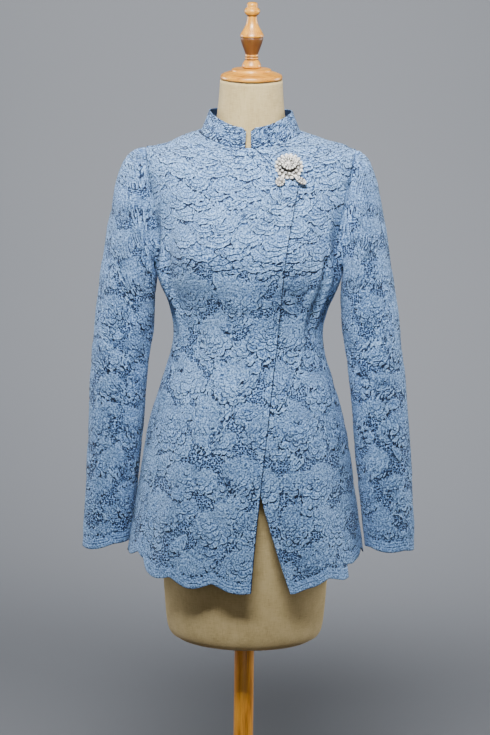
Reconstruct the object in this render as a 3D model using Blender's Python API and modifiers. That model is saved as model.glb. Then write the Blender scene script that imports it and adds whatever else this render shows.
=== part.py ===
"""A long lace kebaya blouse worn by a limbless dress form, in metres, +Z up, front towards -Y.

The blouse is cut in six pieces: a wide right front that wraps over the left front, the left
front, a back, two long sleeves and a stand collar split at the throat, with a rosette brooch
where the wrap turns down. The form has a cloth-covered torso, a turned neck cap with a finial,
a pole and a round base. The origin is the middle of the base's underside.

Every cloth piece is an open sheet laid on one figure, whose rings are worked out from the
tables below, and made a wall by Solidify. Sizes in the tables are millimetres and degrees.
"""

import math
from collections import namedtuple

import bmesh
import bpy
import numpy as np
from mathutils import Matrix, Vector

MM = 0.001  # one millimetre in the file's own metres
WALL = 2.0  # lace on its lining
SEAM_GAP = 0.6  # clear width between two pieces at a seam
LAYER_GAP = 1.5  # clear height between two layers of cloth

# --- the figure that the blouse is cut for ------------------------------------------------------
# Each ring: its station along the body, the heights of its front, side and back points, its half
# width, and where its front, side and back points lie front to back.
Ring = namedtuple("Ring", "name station z_front z_side z_back half_width y_front y_side y_back")
BODY_RINGS = (
    Ring("below_hem", 600, 600, 600, 600, 206, -147, 0, 152),
    Ring("hem", 690, 690, 690, 690, 190, -141, 0, 147),
    Ring("thigh", 790, 790, 790, 790, 174, -131, 0, 139),
    Ring("hip", 890, 890, 890, 890, 158, -121, 0, 128),
    Ring("high_hip", 955, 955, 955, 955, 140, -109, 0, 111),
    Ring("over_waist", 1000, 1000, 1000, 1000, 126, -98.5, 0, 93),
    Ring("waist", 1045, 1045, 1045, 1045, 118.5, -96, 0, 86),
    Ring("under_bust", 1085, 1085, 1085, 1085, 124, -102, 0, 88.5),
    Ring("low_bust", 1118, 1118, 1118, 1118, 136, -113, 0, 93.5),
    Ring("underarm", 1148, 1148, 1148, 1148, 145, -122.5, 1, 98.5),
    Ring("bust", 1185, 1185, 1185, 1185, 148, -127, 3, 103),
    Ring("chest", 1230, 1226, 1230, 1230, 151, -119, 6, 105),
    Ring("yoke", 1285, 1268, 1285, 1282, 158, -102, 9, 101),
    Ring("shoulder", 1336, 1302, 1336, 1326, 165, -81, 10, 89),
    Ring("mid_shoulder", 1384, 1328, 1351, 1353, 121, -65, 6, 72),
    Ring("neck", 1428, 1347, 1365, 1374, 79, -56, 2, 58),
)
BUST_HEIGHT, BUST_ANGLE, BUST_SPREAD = 10.5, 30.0, 20.0
BUST_STATION, BUST_RISE = 1183.0, 52.0

# --- soft folds of the worn cloth: height is outwards, and a trough has a negative height -------
Fold = namedtuple("Fold", "name low_angle high_angle low_station high_station height half_width")
BODY_FOLDS = (
    Fold("right_armpit_ridge", -60, -65, 1035, 1215, 7.0, 5.0),
    Fold("right_armpit_trough", -71, -73, 1030, 1195, -5.0, 5.0),
    Fold("left_armpit_ridge", 47, 52, 1045, 1225, 5.5, 4.5),
    Fold("left_armpit_trough", 56, 59, 1040, 1215, -4.0, 4.5),
    Fold("left_side_ridge", 65, 67, 1050, 1210, 5.5, 4.5),
    Fold("right_waist_drag", -46, -28, 985, 1075, -2.5, 8.0),
    Fold("left_waist_drag", 36, 24, 980, 1075, -2.5, 8.0),
    Fold("right_skirt_flute", -40, -36, 560, 900, 5.0, 11.0),
    Fold("left_skirt_flute", 46, 42, 560, 880, 5.0, 10.0),
    Fold("back_waist_right", 205, 200, 990, 1100, -4.0, 9.0),
    Fold("back_waist_left", 155, 160, 985, 1110, -4.0, 9.0),
    Fold("back_flute_right", 218, 212, 560, 900, 6.0, 14.0),
    Fold("back_flute_left", 140, 146, 560, 890, 6.0, 14.0),
    Fold("back_flute_middle", 181, 180, 560, 860, 4.0, 11.0),
    Fold("back_armpit_right", 250, 245, 1060, 1210, 3.5, 8.0),
    Fold("back_armpit_left", 110, 115, 1060, 1210, 3.5, 8.0),
)

SHOULDER_DROP = 6.5  # how much lower the right shoulder is than the left

# --- edges of the cut pieces --------------------------------------------------------------------
# Side seam: its angle round the figure on the left side, and how it rounds under the arm.
Seam = namedtuple("Seam", "station angle")
SIDE_SEAM = (Seam(640, 58), Seam(700, 59.5), Seam(800, 63), Seam(890, 69), Seam(1045, 81), Seam(1148, 90))
SIDE_LEAN = 1.7  # degrees the left seam's foot is set further round than the right one's, halved
SIDE_LEAN_TOP = 900.0
# Armhole: how far it is cut in from the side, in degrees, at each station.
ARMHOLE_FRONT = (
    Seam(1148, 0), Seam(1154, 6.5), Seam(1168, 11.5), Seam(1192, 15), Seam(1225, 16),
    Seam(1262, 14.5), Seam(1300, 10.5), Seam(1324, 5.5), Seam(1336, 0),
)
ARMHOLE_BACK = (
    Seam(1148, 0), Seam(1154, 6.5), Seam(1168, 11), Seam(1192, 14), Seam(1225, 15),
    Seam(1262, 13.5), Seam(1300, 10), Seam(1324, 5), Seam(1336, 0),
)
# A row is a place along a piece's edge, 0 at the hem and 1 at the shoulder seam's end.
SideRow = namedtuple("SideRow", "row station")
SIDE_ROWS = (
    SideRow(0.0, 640), SideRow(0.2, 800), SideRow(0.48, 1045), SideRow(0.64, 1148), SideRow(0.79, 1225),
    SideRow(0.9, 1285), SideRow(1.0, 1336),
)
# Free edges of the two fronts: how far across from the middle, towards the left sleeve, and up.
EdgePoint = namedtuple("EdgePoint", "row across height")
WRAP_EDGE = (
    EdgePoint(0.00, 19, 640), EdgePoint(0.09, 24, 720), EdgePoint(0.20, 32, 815), EdgePoint(0.33, 42, 930),
    EdgePoint(0.46, 51, 1045), EdgePoint(0.57, 59, 1125), EdgePoint(0.68, 67, 1199),
    EdgePoint(0.79, 81, 1295),
)
WRAP_SLANT = (EdgePoint(0.79, 81, 1295), EdgePoint(0.84, 40, 1322), EdgePoint(0.89, 10, 1347.5))
UNDER_EDGE = (
    EdgePoint(0.00, 84, 640), EdgePoint(0.10, 58, 718), EdgePoint(0.22, 30, 815), EdgePoint(0.36, 12, 930),
    EdgePoint(0.50, 4, 1045), EdgePoint(0.70, 2, 1199), EdgePoint(0.885, 3, 1346.9),
)
NECK_STATION = 1428.0
SHOULDER_HALF_GAP = 0.6  # degrees the front and back each stop short of the shoulder seam
WRAP_LIFT_START = -15.0  # degrees: where the wrap starts to rise over the left front
WRAP_LIFT_FULL = -3.5

# --- hem: height of its mean line at each angle round the figure --------------------------------
HemPoint = namedtuple("HemPoint", "angle height")
FRONT_HEM = (
    HemPoint(-60, 672), HemPoint(-45, 666.5), HemPoint(-34.5, 661.5), HemPoint(-24, 657.6),
    HemPoint(-13, 657.6), HemPoint(-2, 655), HemPoint(6, 649.5), HemPoint(24, 644.5), HemPoint(35, 661.5),
    HemPoint(46, 664.5), HemPoint(52, 666.5), HemPoint(60, 664.5),
)
BACK_HEM = (
    HemPoint(58, 678), HemPoint(64, 680), HemPoint(72, 690), HemPoint(83, 690.5), HemPoint(95, 686),
    HemPoint(130, 670), HemPoint(180, 660), HemPoint(230, 667), HemPoint(262, 676), HemPoint(275, 679),
    HemPoint(293, 688), HemPoint(302, 688),
)
HEM_STATION = 640.0  # the height that the edge tables call the hem
ROW_HEIGHT = 800.0  # height of one whole row number near the hem
HEM_FADE = 0.16  # share of a piece's rows over which the hem's shape dies out
SCALLOP_PITCH = 21.5  # degrees of one scallop
SCALLOP_DEPTH = 10.0
Hem = namedtuple("Hem", "line start")  # its mean line, and the angle of one notch between scallops
RIGHT_FRONT_HEM = Hem(FRONT_HEM, -13.0)
LEFT_FRONT_HEM = Hem(FRONT_HEM, 45.8)
BACK_PIECE_HEM = Hem(BACK_HEM, 83.0)
VENT_CURVE_RIGHT, VENT_CURVE_LEFT = 15.0, 2.5  # how far the corner at each side vent is rounded up
VENT_WIDTH = 7.0  # degrees over which it rounds
VENT_SPREAD = 2.0  # how far a front stands out over the back at the vent
VENT_TOP = 745.0

# --- sleeves ------------------------------------------------------------------------------------
# Outer and inner line of a sleeve seen from the front, half the difference between the left and
# right arms at each, how far the right and left arms' middles lie back from the shoulder, and
# half the depth. Oval 0 keeps the armhole's own shape and 1 is a plain oval.
SleeveRing = namedtuple(
    "SleeveRing", "ring outer_x outer_z outer_lean inner_x inner_z inner_lean right_back left_back depth oval"
)
SLEEVE_RINGS = (
    SleeveRing(0, 165.5, 1336, 0, 145.5, 1148, 0, 0, 0, 34, 0.0),
    SleeveRing(1, 176, 1333, -2, 146.4, 1146.5, 0, 0, 0, 39, 0.2),
    SleeveRing(2, 185, 1326, -4, 147.4, 1142.5, 0, 0, 0, 44, 0.5),
    SleeveRing(3, 193, 1315, -5, 148.2, 1137, 0, 0, 0, 47, 0.8),
    SleeveRing(4, 200.5, 1298, -5.5, 148.8, 1130, -0.5, 0, 0, 49, 1.0),
    SleeveRing(5, 208.5, 1272, -5.5, 149.2, 1121, -1, 1, 0, 50, 1.0),
    SleeveRing(6, 216, 1237, -5, 149.4, 1109, -1.5, 3, 0, 50, 1.0),
    SleeveRing(7, 223.5, 1196, -5, 149.6, 1093, -2, 5, 1, 49.5, 1.0),
    SleeveRing(8, 231, 1150, -5, 150, 1073, -2, 8, 2, 48.5, 1.0),
    SleeveRing(9, 238, 1104, -4.5, 151, 1049, -2, 11, 3, 47.5, 1.0),
    SleeveRing(10, 244, 1058, -3.5, 154.5, 1021, -1.5, 13, 4, 46.5, 1.0),
    SleeveRing(11, 249.5, 1008, -3, 160, 985, -1, 16, 5, 45.5, 1.0),
    SleeveRing(12, 254.5, 954, -2, 165.5, 942, -0.5, 19, 6, 44.5, 1.0),
    SleeveRing(13, 258.5, 898, 0, 169.5, 892, 0, 22, 7, 43, 1.0),
    SleeveRing(14, 262, 840, 1, 175, 838, 0, 24, 8, 41.5, 1.0),
    SleeveRing(15, 265.5, 784, 1.5, 180.5, 784, 0.5, 26, 9, 40, 1.0),
    SleeveRing(16, 268.5, 734, 2.0, 186, 734, 1, 28, 10, 38.5, 1.0),
    SleeveRing(17, 271, 686.5, 1.0, 191.5, 686.5, 1, 29, 10, 37.5, 1.0),
)
SLEEVE_MIDDLE_Y = 6.0
SLEEVE_HANG = 6.0  # how much higher the left cuff hangs and how much lower the right one
SLEEVE_OPEN, SLEEVE_IN = 0.9, 0.7  # how far its rim stands out of the armhole, and inside its outline
# Folds of a sleeve: angle round it from its top, through its front, and ring number along it.
SLEEVE_FOLDS = (
    Fold("underarm_drag", 118, 150, 3.0, 8.5, -3.0, 18.0),
    Fold("elbow_upper", 165, 125, 8.2, 12.0, -3.5, 20.0),
    Fold("elbow_lower", 185, 215, 9.5, 13.5, -3.0, 20.0),
    Fold("back_drag", 230, 245, 3.0, 9.0, -2.5, 20.0),
    Fold("forearm", 60, 80, 11.0, 17.0, -1.5, 22.0),
)
CUFF_SCALLOPS = 4
CUFF_SCALLOP_DEPTH = 3.4
# For each side: degrees round the cuff where two scallops meet, and how much its outer side sinks.
CUFF = {1: (51.0, 2.0), -1: (20.0, 8.5)}

# --- stand collar: share is up the band ---------------------------------------------------------
CollarRing = namedtuple("CollarRing", "share z_front z_side z_back half_width y_front y_side y_back")
COLLAR_RINGS = (
    CollarRing(0.0, 1348.4, 1366.2, 1375.3, 78.0, -55.2, 2, 57.2),
    CollarRing(0.5, 1362.5, 1383.0, 1386.0, 71.0, -53.5, 1, 53.5),
    CollarRing(1.0, 1378.5, 1399.0, 1396.5, 65.5, -51.0, 0, 50.0),
)
COLLAR_GAP_HALF = 3.2  # degrees of the notch at the throat, either side
COLLAR_CORNER_DROP = 5.0
COLLAR_WRAP_RISE = 2.4  # how much higher its foot runs where the wrap comes up to it
COLLAR_CORNER_WIDTH = 8.0  # degrees

# --- dress form ---------------------------------------------------------------------------------
FORM_RINGS = (
    Ring("foot", 540, 540, 540, 540, 112, -90, 2, 96),
    Ring("foot_round", 547, 547, 547, 547, 122, -98, 2, 104),
    Ring("foot_side", 564, 564, 564, 564, 127, -102, 2, 108),
    Ring("low_thigh", 650, 650, 650, 650, 134, -106, 1, 112),
    Ring("thigh", 760, 760, 760, 760, 143, -110, 0, 119),
    Ring("hip", 860, 860, 860, 860, 146, -109, 0, 119),
    Ring("high_hip", 940, 940, 940, 940, 133, -98, 0, 103),
    Ring("over_waist", 1000, 1000, 1000, 1000, 114, -87, 0, 82),
    Ring("waist", 1045, 1045, 1045, 1045, 107, -83, 0, 73),
    Ring("under_bust", 1085, 1085, 1085, 1085, 111, -92, 0, 77),
    Ring("low_bust", 1120, 1120, 1120, 1120, 122, -104, 0, 84),
    Ring("underarm", 1150, 1150, 1150, 1150, 132, -113, 1, 91),
    Ring("bust", 1185, 1185, 1185, 1185, 138, -119, 3, 97),
    Ring("chest", 1230, 1226, 1230, 1230, 142, -112, 6, 99),
    Ring("yoke", 1285, 1265, 1283, 1279, 149, -96, 9, 95),
    Ring("shoulder", 1328, 1297, 1331, 1321, 154, -76, 10, 84),
    Ring("mid_shoulder", 1374, 1321, 1345.5, 1346.5, 114, -60, 6, 67),
    Ring("neck_root", 1412, 1339, 1356, 1362, 74, -50, 3, 52),
    Ring("low_neck", 1440, 1364, 1376, 1380, 57, -45, 2, 46),
    Ring("neck", 1478, 1406, 1410, 1412, 51.5, -46, 0, 46),
    Ring("neck_top", 1516, 1447, 1447, 1447, 49, -45, 0, 45),
)
FORM_BUST_HEIGHT = 7.0
FORM_ROWS = 27  # lines between the foot's middle and the neck's
FORM_SEGMENTS = 26

# Turned profiles: radius and height above the piece's own foot.
Turn = namedtuple("Turn", "radius height")
CAP_FOOT_Z = 1447.6
CAP_PROFILE = (
    Turn(0, 0), Turn(47.2, 0), Turn(49.0, 2.2), Turn(48.6, 6.0), Turn(45.5, 9.0), Turn(38.0, 12.0),
    Turn(31.5, 13.6), Turn(31.0, 15.8), Turn(28.5, 17.4), Turn(0, 18.6),
)
FINIAL_FOOT_Z = 1466.7
FINIAL_PROFILE = (
    Turn(0, 0), Turn(14.6, 0), Turn(15.2, 2.5), Turn(13.8, 6.5), Turn(11.6, 10.5), Turn(9.4, 12.6),
    Turn(10.8, 14.6), Turn(9.4, 16.6), Turn(10.4, 18.6), Turn(10.0, 21.0), Turn(13.2, 29.0),
    Turn(16.4, 38.0), Turn(18.2, 45.5), Turn(17.0, 47.4), Turn(18.6, 49.4), Turn(16.6, 54.0),
    Turn(11.4, 63.0), Turn(8.2, 72.0), Turn(7.6, 80.0), Turn(9.2, 83.0), Turn(12.2, 86.0),
    Turn(12.6, 89.0), Turn(11.2, 92.2), Turn(8.4, 94.0), Turn(9.0, 98.0), Turn(6.4, 101.4), Turn(0, 102.8),
)
POLE_RADIUS = 16.0
POLE_FOOT_Z = 34.4
POLE_TOP_Z = 539.5
BASE_PROFILE = (
    Turn(0, 0), Turn(187, 0), Turn(190, 3), Turn(190, 11), Turn(186, 16), Turn(150, 19.5), Turn(60, 25),
    Turn(34, 28), Turn(30, 34), Turn(0, 34),
)

# --- brooch -------------------------------------------------------------------------------------
BROOCH_ACROSS, BROOCH_HEIGHT = 64.5, 1318.5  # the middle of the rosette
BROOCH_CLEAR = 0.5
LEAF_RAISE = 0.35  # clear of the rosette's own back plane
Tier = namedtuple("Tier", "radius height petals lobe")
ROSETTE_TIERS = (
    Tier(18.0, 0.0, 10, 0.04), Tier(22.8, 2.4, 10, 0.05), Tier(20.0, 5.0, 10, 0.06),
    Tier(15.5, 5.4, 8, 0.05), Tier(16.0, 7.8, 8, 0.07), Tier(11.0, 9.4, 6, 0.05), Tier(10.0, 11.8, 6, 0.07),
    Tier(5.0, 13.4, 6, 0.03),
)
ROSETTE_SEGMENTS = 40
ROSETTE_LEAN = 4.5  # how much higher the top of its dome is set than its back
ROSETTE_TURN = {10: 0.0, 8: 20.0, 6: 8.0}  # degrees each count of petals is turned
Leaf = namedtuple("Leaf", "name right up turn length width height")
BROOCH_LEAVES = (
    Leaf("brooch_leaf_right", -14.6, -27.2, 242.0, 25.0, 14.5, 5.0),
    Leaf("brooch_leaf_left", 14.8, -24.4, 325.0, 23.0, 10.5, 5.0),
)

# Linear base colour, roughness and metallic value of each finish.
Finish = namedtuple("Finish", "name colour roughness metallic")
FINISHES = (
    Finish("lace", (0.24, 0.37, 0.60), 0.85, 0.0),
    Finish("collar_lace", (0.19, 0.30, 0.50), 0.85, 0.0),
    Finish("form_cloth", (0.62, 0.54, 0.41), 0.95, 0.0),
    Finish("turned_wood", (0.62, 0.36, 0.15), 0.45, 0.0),
    Finish("pearl", (0.86, 0.83, 0.76), 0.25, 0.0),
)


# --- tables and rings ---------------------------------------------------------------------------
def smooth(low, high, value):
    """0 below low, 1 above high, and an S curve between."""
    share = min(max((value - low) / (high - low), 0.0), 1.0)
    return share * share * (3 - 2 * share)


def mix(first, second, share):
    return first + (second - first) * share


def curve_through(keys, values, at):
    """A smooth curve through the values at rising keys, with level ends held beyond them."""
    if at <= keys[0]:
        return values[0]
    if at >= keys[-1]:
        return values[-1]
    steps = [(b - a) / (q - p) for a, b, p, q in zip(values, values[1:], keys, keys[1:])]
    i = int(np.searchsorted(keys, at, side="right")) - 1

    def slope(k):
        if k in (0, len(steps)):
            return steps[min(k, len(steps) - 1)]
        before, after = steps[k - 1], steps[k]
        return 0.0 if before * after <= 0 else 2 * before * after / (before + after)

    span = keys[i + 1] - keys[i]
    t = (at - keys[i]) / span
    return (
        (2 * t**3 - 3 * t**2 + 1) * values[i]
        + (t**3 - 2 * t**2 + t) * span * slope(i)
        + (3 * t**2 - 2 * t**3) * values[i + 1]
        + (t**3 - t**2) * span * slope(i + 1)
    )


def column(table, key, name, at):
    return curve_through([getattr(row, key) for row in table], [getattr(row, name) for row in table], at)


def ring_at(rings, station):
    """The ring at any station, every column on its own smooth curve."""
    return Ring("between", station, *(column(rings, "station", name, station) for name in Ring._fields[2:]))


def ring_point(ring, angle):
    """A point of the ring, at an angle in degrees from the front towards the left side."""
    turn = math.radians(angle)
    forward = math.cos(turn)
    end_y, end_z = (ring.y_front, ring.z_front) if forward > 0 else (ring.y_back, ring.z_back)
    return Vector((
        ring.half_width * math.sin(turn),
        mix(ring.y_side, end_y, abs(forward)),
        mix(ring.z_side, end_z, forward * forward),
    ))


def outwards(angle):
    return Vector((math.sin(math.radians(angle)), -math.cos(math.radians(angle)), 0.0))


def bust_swell(angle, station, height):
    spread = ((abs(angle) - BUST_ANGLE) / BUST_SPREAD) ** 2
    rise = ((station - BUST_STATION) / BUST_RISE) ** 2
    return height * math.exp(-spread - rise) if abs(angle) < 90 else 0.0


def fold_height(folds, angle, along):
    """Height of all the soft folds together at a place on the cloth."""
    total = 0.0
    for fold in folds:
        if fold.low_station < along < fold.high_station:
            share = (along - fold.low_station) / (fold.high_station - fold.low_station)
            apart = (angle - mix(fold.low_angle, fold.high_angle, share) + 180) % 360 - 180
            total += fold.height * math.sin(math.pi * share) * math.exp(-((apart / fold.half_width) ** 2))
    return total


def let_down(point):
    """The point with the right shoulder let down: the two shoulders slope unevenly."""
    point.z -= SHOULDER_DROP * smooth(98.0, 142.0, -point.x) * smooth(1270.0, 1345.0, point.z)
    return point


def body_point(angle, station, lift=0.0):
    """A point of the blouse's outer face on the figure, or that much above it, in millimetres."""
    proud = bust_swell(angle, station, BUST_HEIGHT) + fold_height(BODY_FOLDS, angle, station)
    point = let_down(ring_point(ring_at(BODY_RINGS, station), angle) + outwards(angle) * proud)
    if lift:
        point += body_normal(angle, station) * lift
    return point


def body_normal(angle, station):
    around = body_point(angle + 1, station) - body_point(angle - 1, station)
    up = body_point(angle, min(station + 3, NECK_STATION)) - body_point(angle, station - 3)
    return around.cross(up).normalized()


def place_on_front(across, height):
    """Angle and station of the point of the figure's front that is this far across and up."""
    angle, station = 0.0, height
    for _ in range(12):
        here = body_point(angle, station)
        station = min(station + (height - here.z) * 1.4, NECK_STATION)
        angle += math.degrees((across - here.x) / ring_at(BODY_RINGS, station).half_width)
    return angle, station


# --- edges of the pieces ------------------------------------------------------------------------
Place = namedtuple("Place", "row angle station")


def placed(table, steps=24):
    """The table's edge as evenly spaced places on the figure."""
    rows = [mix(table[0].row, table[-1].row, k / steps) for k in range(steps + 1)]
    return [
        Place(row, *place_on_front(column(table, "row", "across", row), column(table, "row", "height", row)))
        for row in rows
    ]


def side_edge(row, armhole, side):
    """The side seam below the underarm and the armhole above it; side is 1 on the left."""
    station = column(SIDE_ROWS, "row", "station", row)
    if station <= armhole[0].station:
        lean = SIDE_LEAN * (1 - smooth(HEM_STATION, SIDE_LEAN_TOP, station))
        return column(SIDE_SEAM, "station", "angle", station) + side * lean, station
    cut = column(armhole, "station", "angle", station)
    return (90 - cut if armhole is ARMHOLE_FRONT else 90 + cut), station


def front_edge(parts, neck_end):
    """A front's free edge as a function of the row: along the parts, then round the neckline."""
    tables = [placed(part) for part in parts]

    def edge(row):
        for table in tables:
            if row <= table[-1].row:
                return column(table, "row", "angle", row), column(table, "row", "station", row)
        last = tables[-1][-1]
        share = (row - last.row) / (1 - last.row)
        return mix(last.angle, neck_end, share), mix(last.station, NECK_STATION, min(share * 4, 1.0))

    return edge


def scallop(turns):
    """Broad round scallops with soft notches: 0 in a notch and 1 at the lowest of a scallop."""
    return abs(math.sin(math.pi * turns)) ** 1.2


def hem_height(hem, angle, vent_angle):
    """Height of the hem at an angle, rounded up at the side vent if the piece has one there."""
    lobe = scallop((angle - hem.start) / SCALLOP_PITCH) - 0.5
    level = column(hem.line, "angle", "height", angle) - SCALLOP_DEPTH * lobe
    if vent_angle is not None:
        curve = VENT_CURVE_LEFT if vent_angle > 0 else VENT_CURVE_RIGHT
        level += curve * (1 - smooth(0.0, VENT_WIDTH, abs(angle - vent_angle))) ** 2
    return level


# --- making meshes ------------------------------------------------------------------------------
def fresh_collection(name):
    for old in list(bpy.data.objects):
        bpy.data.objects.remove(old)
    collection = bpy.data.collections.new(name)
    bpy.context.scene.collection.children.link(collection)
    return collection


def finish_material(name):
    made = bpy.data.materials.get(name)
    if made is None:
        finish = next(row for row in FINISHES if row.name == name)
        made = bpy.data.materials.new(name)
        made.use_nodes = True
        shader = made.node_tree.nodes["Principled BSDF"]
        shader.inputs["Base Color"].default_value = (*finish.colour, 1.0)
        shader.inputs["Roughness"].default_value = finish.roughness
        shader.inputs["Metallic"].default_value = finish.metallic
    return made


def add_object(name, bm, material, collection):
    mesh = bpy.data.meshes.new(name)
    bm.to_mesh(mesh)
    bm.free()
    mesh.shade_smooth()
    mesh.materials.append(finish_material(material))
    made = bpy.data.objects.new(name, mesh)
    collection.objects.link(made)
    return made


def sheet_grid(columns, rows, edge_cuts=0):
    """A flat grid whose vertices hold u and v in x and y, with its v = 0 edge cut finer."""
    bm = bmesh.new()
    bmesh.ops.create_grid(bm, x_segments=columns, y_segments=rows, size=0.5)
    bmesh.ops.translate(bm, verts=bm.verts, vec=(0.5, 0.5, 0.0))
    if edge_cuts:
        on_edge = [e for e in bm.edges if all(v.co.y < 1e-5 for v in e.verts)]
        bmesh.ops.subdivide_edges(bm, edges=on_edge, cuts=edge_cuts)
    return bm


def place(bm, point_of):
    """Moves each vertex from its u and v to point_of(u, v), given in millimetres."""
    for vertex in bm.verts:
        vertex.co = point_of(vertex.co.x, vertex.co.y) * MM


def make_wall(cloth):
    """Gives an open sheet its thickness, inwards from its outer face."""
    wall = cloth.modifiers.new("cloth wall", "SOLIDIFY")
    wall.thickness = WALL * MM
    wall.offset = -1.0
    wall.use_quality_normals = True


def closed_rings(name, segments, rings, point_of, end_points, material, collection):
    """A closed solid of level rings, point_of(number, share round), between two end points."""
    bm = bmesh.new()
    bmesh.ops.create_uvsphere(bm, u_segments=segments, v_segments=rings + 1, radius=1.0)
    for vertex in bm.verts:
        from_foot = (math.pi - math.acos(max(-1.0, min(1.0, vertex.co.z)))) / math.pi * (rings + 1)
        number = round(from_foot)
        if number in (0, rings + 1):
            vertex.co = end_points[0 if number == 0 else 1] * MM
        else:
            turn = math.atan2(vertex.co.y, vertex.co.x) / (2 * math.pi) % 1.0
            vertex.co = point_of(number - 1, round(turn * segments) / segments) * MM
    return add_object(name, bm, material, collection)


# --- the cut pieces of the body -----------------------------------------------------------------
def in_from_edge(angle, share_from_low):
    """Draws a piece in from its side edges by half a seam's gap, along the cloth."""
    along = Vector((math.cos(math.radians(angle)), math.sin(math.radians(angle)), 0.0))
    return along * (1 - 2 * share_from_low) * SEAM_GAP / 2


def body_panel(name, patch, spread, size, hem, vents, lift, collection):
    """A piece of the bodice: patch(u, v) gives the angle and the station of each of its points."""
    columns, rows, cuts = size

    def point_of(u, v):
        u = spread(u)
        level = hem_height(hem, patch(u, v)[0], vents[0] if u < 0.5 else vents[1])
        rise = (level - HEM_STATION) * (1 - smooth(0.0, HEM_FADE, v))
        angle, station = patch(u, v + rise / ROW_HEIGHT)
        return body_point(angle, station, lift(angle, station)) + in_from_edge(angle, u)

    bm = sheet_grid(columns, rows, cuts)
    place(bm, point_of)
    make_wall(add_object(name, bm, "lace", collection))


def between(low_edge, high_edge):
    """A patch ruled from one edge to the other, row by row."""

    def patch(u, v):
        (low_angle, low_station), (high_angle, high_station) = low_edge(v), high_edge(v)
        return mix(low_angle, high_angle, u), mix(low_station, high_station, u)

    return patch


def vent_lift(angle, station, vent_angle):
    """A front's side edge stands a little out over the back below the top of the vent."""
    near = 1 - smooth(2.0, 12.0, abs(angle - vent_angle))
    return VENT_SPREAD * near * (1 - smooth(HEM_STATION, VENT_TOP, station))


def right_front_lift(angle, station):
    """The wrap rises by one layer where the left front lies under it."""
    over = (WALL + LAYER_GAP) * smooth(WRAP_LIFT_START, WRAP_LIFT_FULL, angle)
    return over + vent_lift(angle, station, -vent_angle(-1))


def vent_angle(side):
    return side_edge(0.0, ARMHOLE_FRONT, side)[0]


def make_fronts(collection):
    top = 90 - SHOULDER_HALF_GAP

    def front_side(row, side):
        angle, station = side_edge(row, ARMHOLE_FRONT, side)
        return side * (min(angle, top) if station > ARMHOLE_FRONT[0].station else angle), station

    def left_front_lift(angle, station):
        return vent_lift(angle, station, vent_angle(1))

    right_patch = between(lambda row: front_side(row, -1), front_edge((WRAP_EDGE, WRAP_SLANT), -top))
    left_patch = between(front_edge((UNDER_EDGE,), top), lambda row: front_side(row, 1))
    body_panel(
        "front_right", right_patch, lambda u: u**1.2, (23, 28, 2), RIGHT_FRONT_HEM,
        (-vent_angle(-1), None), right_front_lift, collection,
    )
    body_panel(
        "front_left", left_patch, lambda u: 1 - (1 - u) ** 1.1, (15, 28, 2), LEFT_FRONT_HEM,
        (None, vent_angle(1)), left_front_lift, collection,
    )


def make_back(collection):
    """The back, from the left side round to the right: its top is two shoulder seams and a neckline."""
    low_corner = 90 + SHOULDER_HALF_GAP
    seam_share = 0.27

    def side(row, side):
        angle, station = side_edge(row, ARMHOLE_BACK, side)
        return max(angle, low_corner) if station > ARMHOLE_BACK[0].station else angle, station

    def top(u):
        in_from_tip = min(u, 1 - u) / seam_share
        if in_from_tip < 1:
            station = mix(ARMHOLE_BACK[-1].station, NECK_STATION, in_from_tip)
            return (low_corner if u < 0.5 else 360 - low_corner), station
        return mix(low_corner, 360 - low_corner, (u - seam_share) / (1 - 2 * seam_share)), NECK_STATION

    def patch(u, v):
        (left_angle, side_station), (right_angle, _) = side(v, 1), side(v, -1)
        top_angle, top_station = top(u)
        across = mix(left_angle, 360 - right_angle, u)
        angle = across + v * (top_angle - mix(low_corner, 360 - low_corner, u))
        return angle, side_station + v * (top_station - ARMHOLE_BACK[-1].station)

    body_panel(
        "back", patch, lambda u: u, (24, 24, 3), BACK_PIECE_HEM, (None, None),
        lambda angle, station: 0.0, collection,
    )


# --- sleeves and collar -------------------------------------------------------------------------
def armhole_point(turn, side):
    """A point of the armhole's rim, at a turn in degrees from the shoulder tip through the front."""
    front = turn <= 180
    down = turn / 180 if front else (360 - turn) / 180
    table = ARMHOLE_FRONT if front else ARMHOLE_BACK
    tip, foot = table[-1].station, table[0].station
    station = foot + (tip - foot) * (1 + math.cos(math.pi * down)) / 2
    cut = column(table, "station", "angle", station)
    angle = 90 - cut if front else 90 + cut
    rim = body_point(side * angle, station)
    inwards = (Vector((rim.x, SLEEVE_MIDDLE_Y, (tip + foot) / 2)) - rim).normalized()
    return rim + outwards(side * 90) * SLEEVE_OPEN + inwards * SLEEVE_IN


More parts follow.
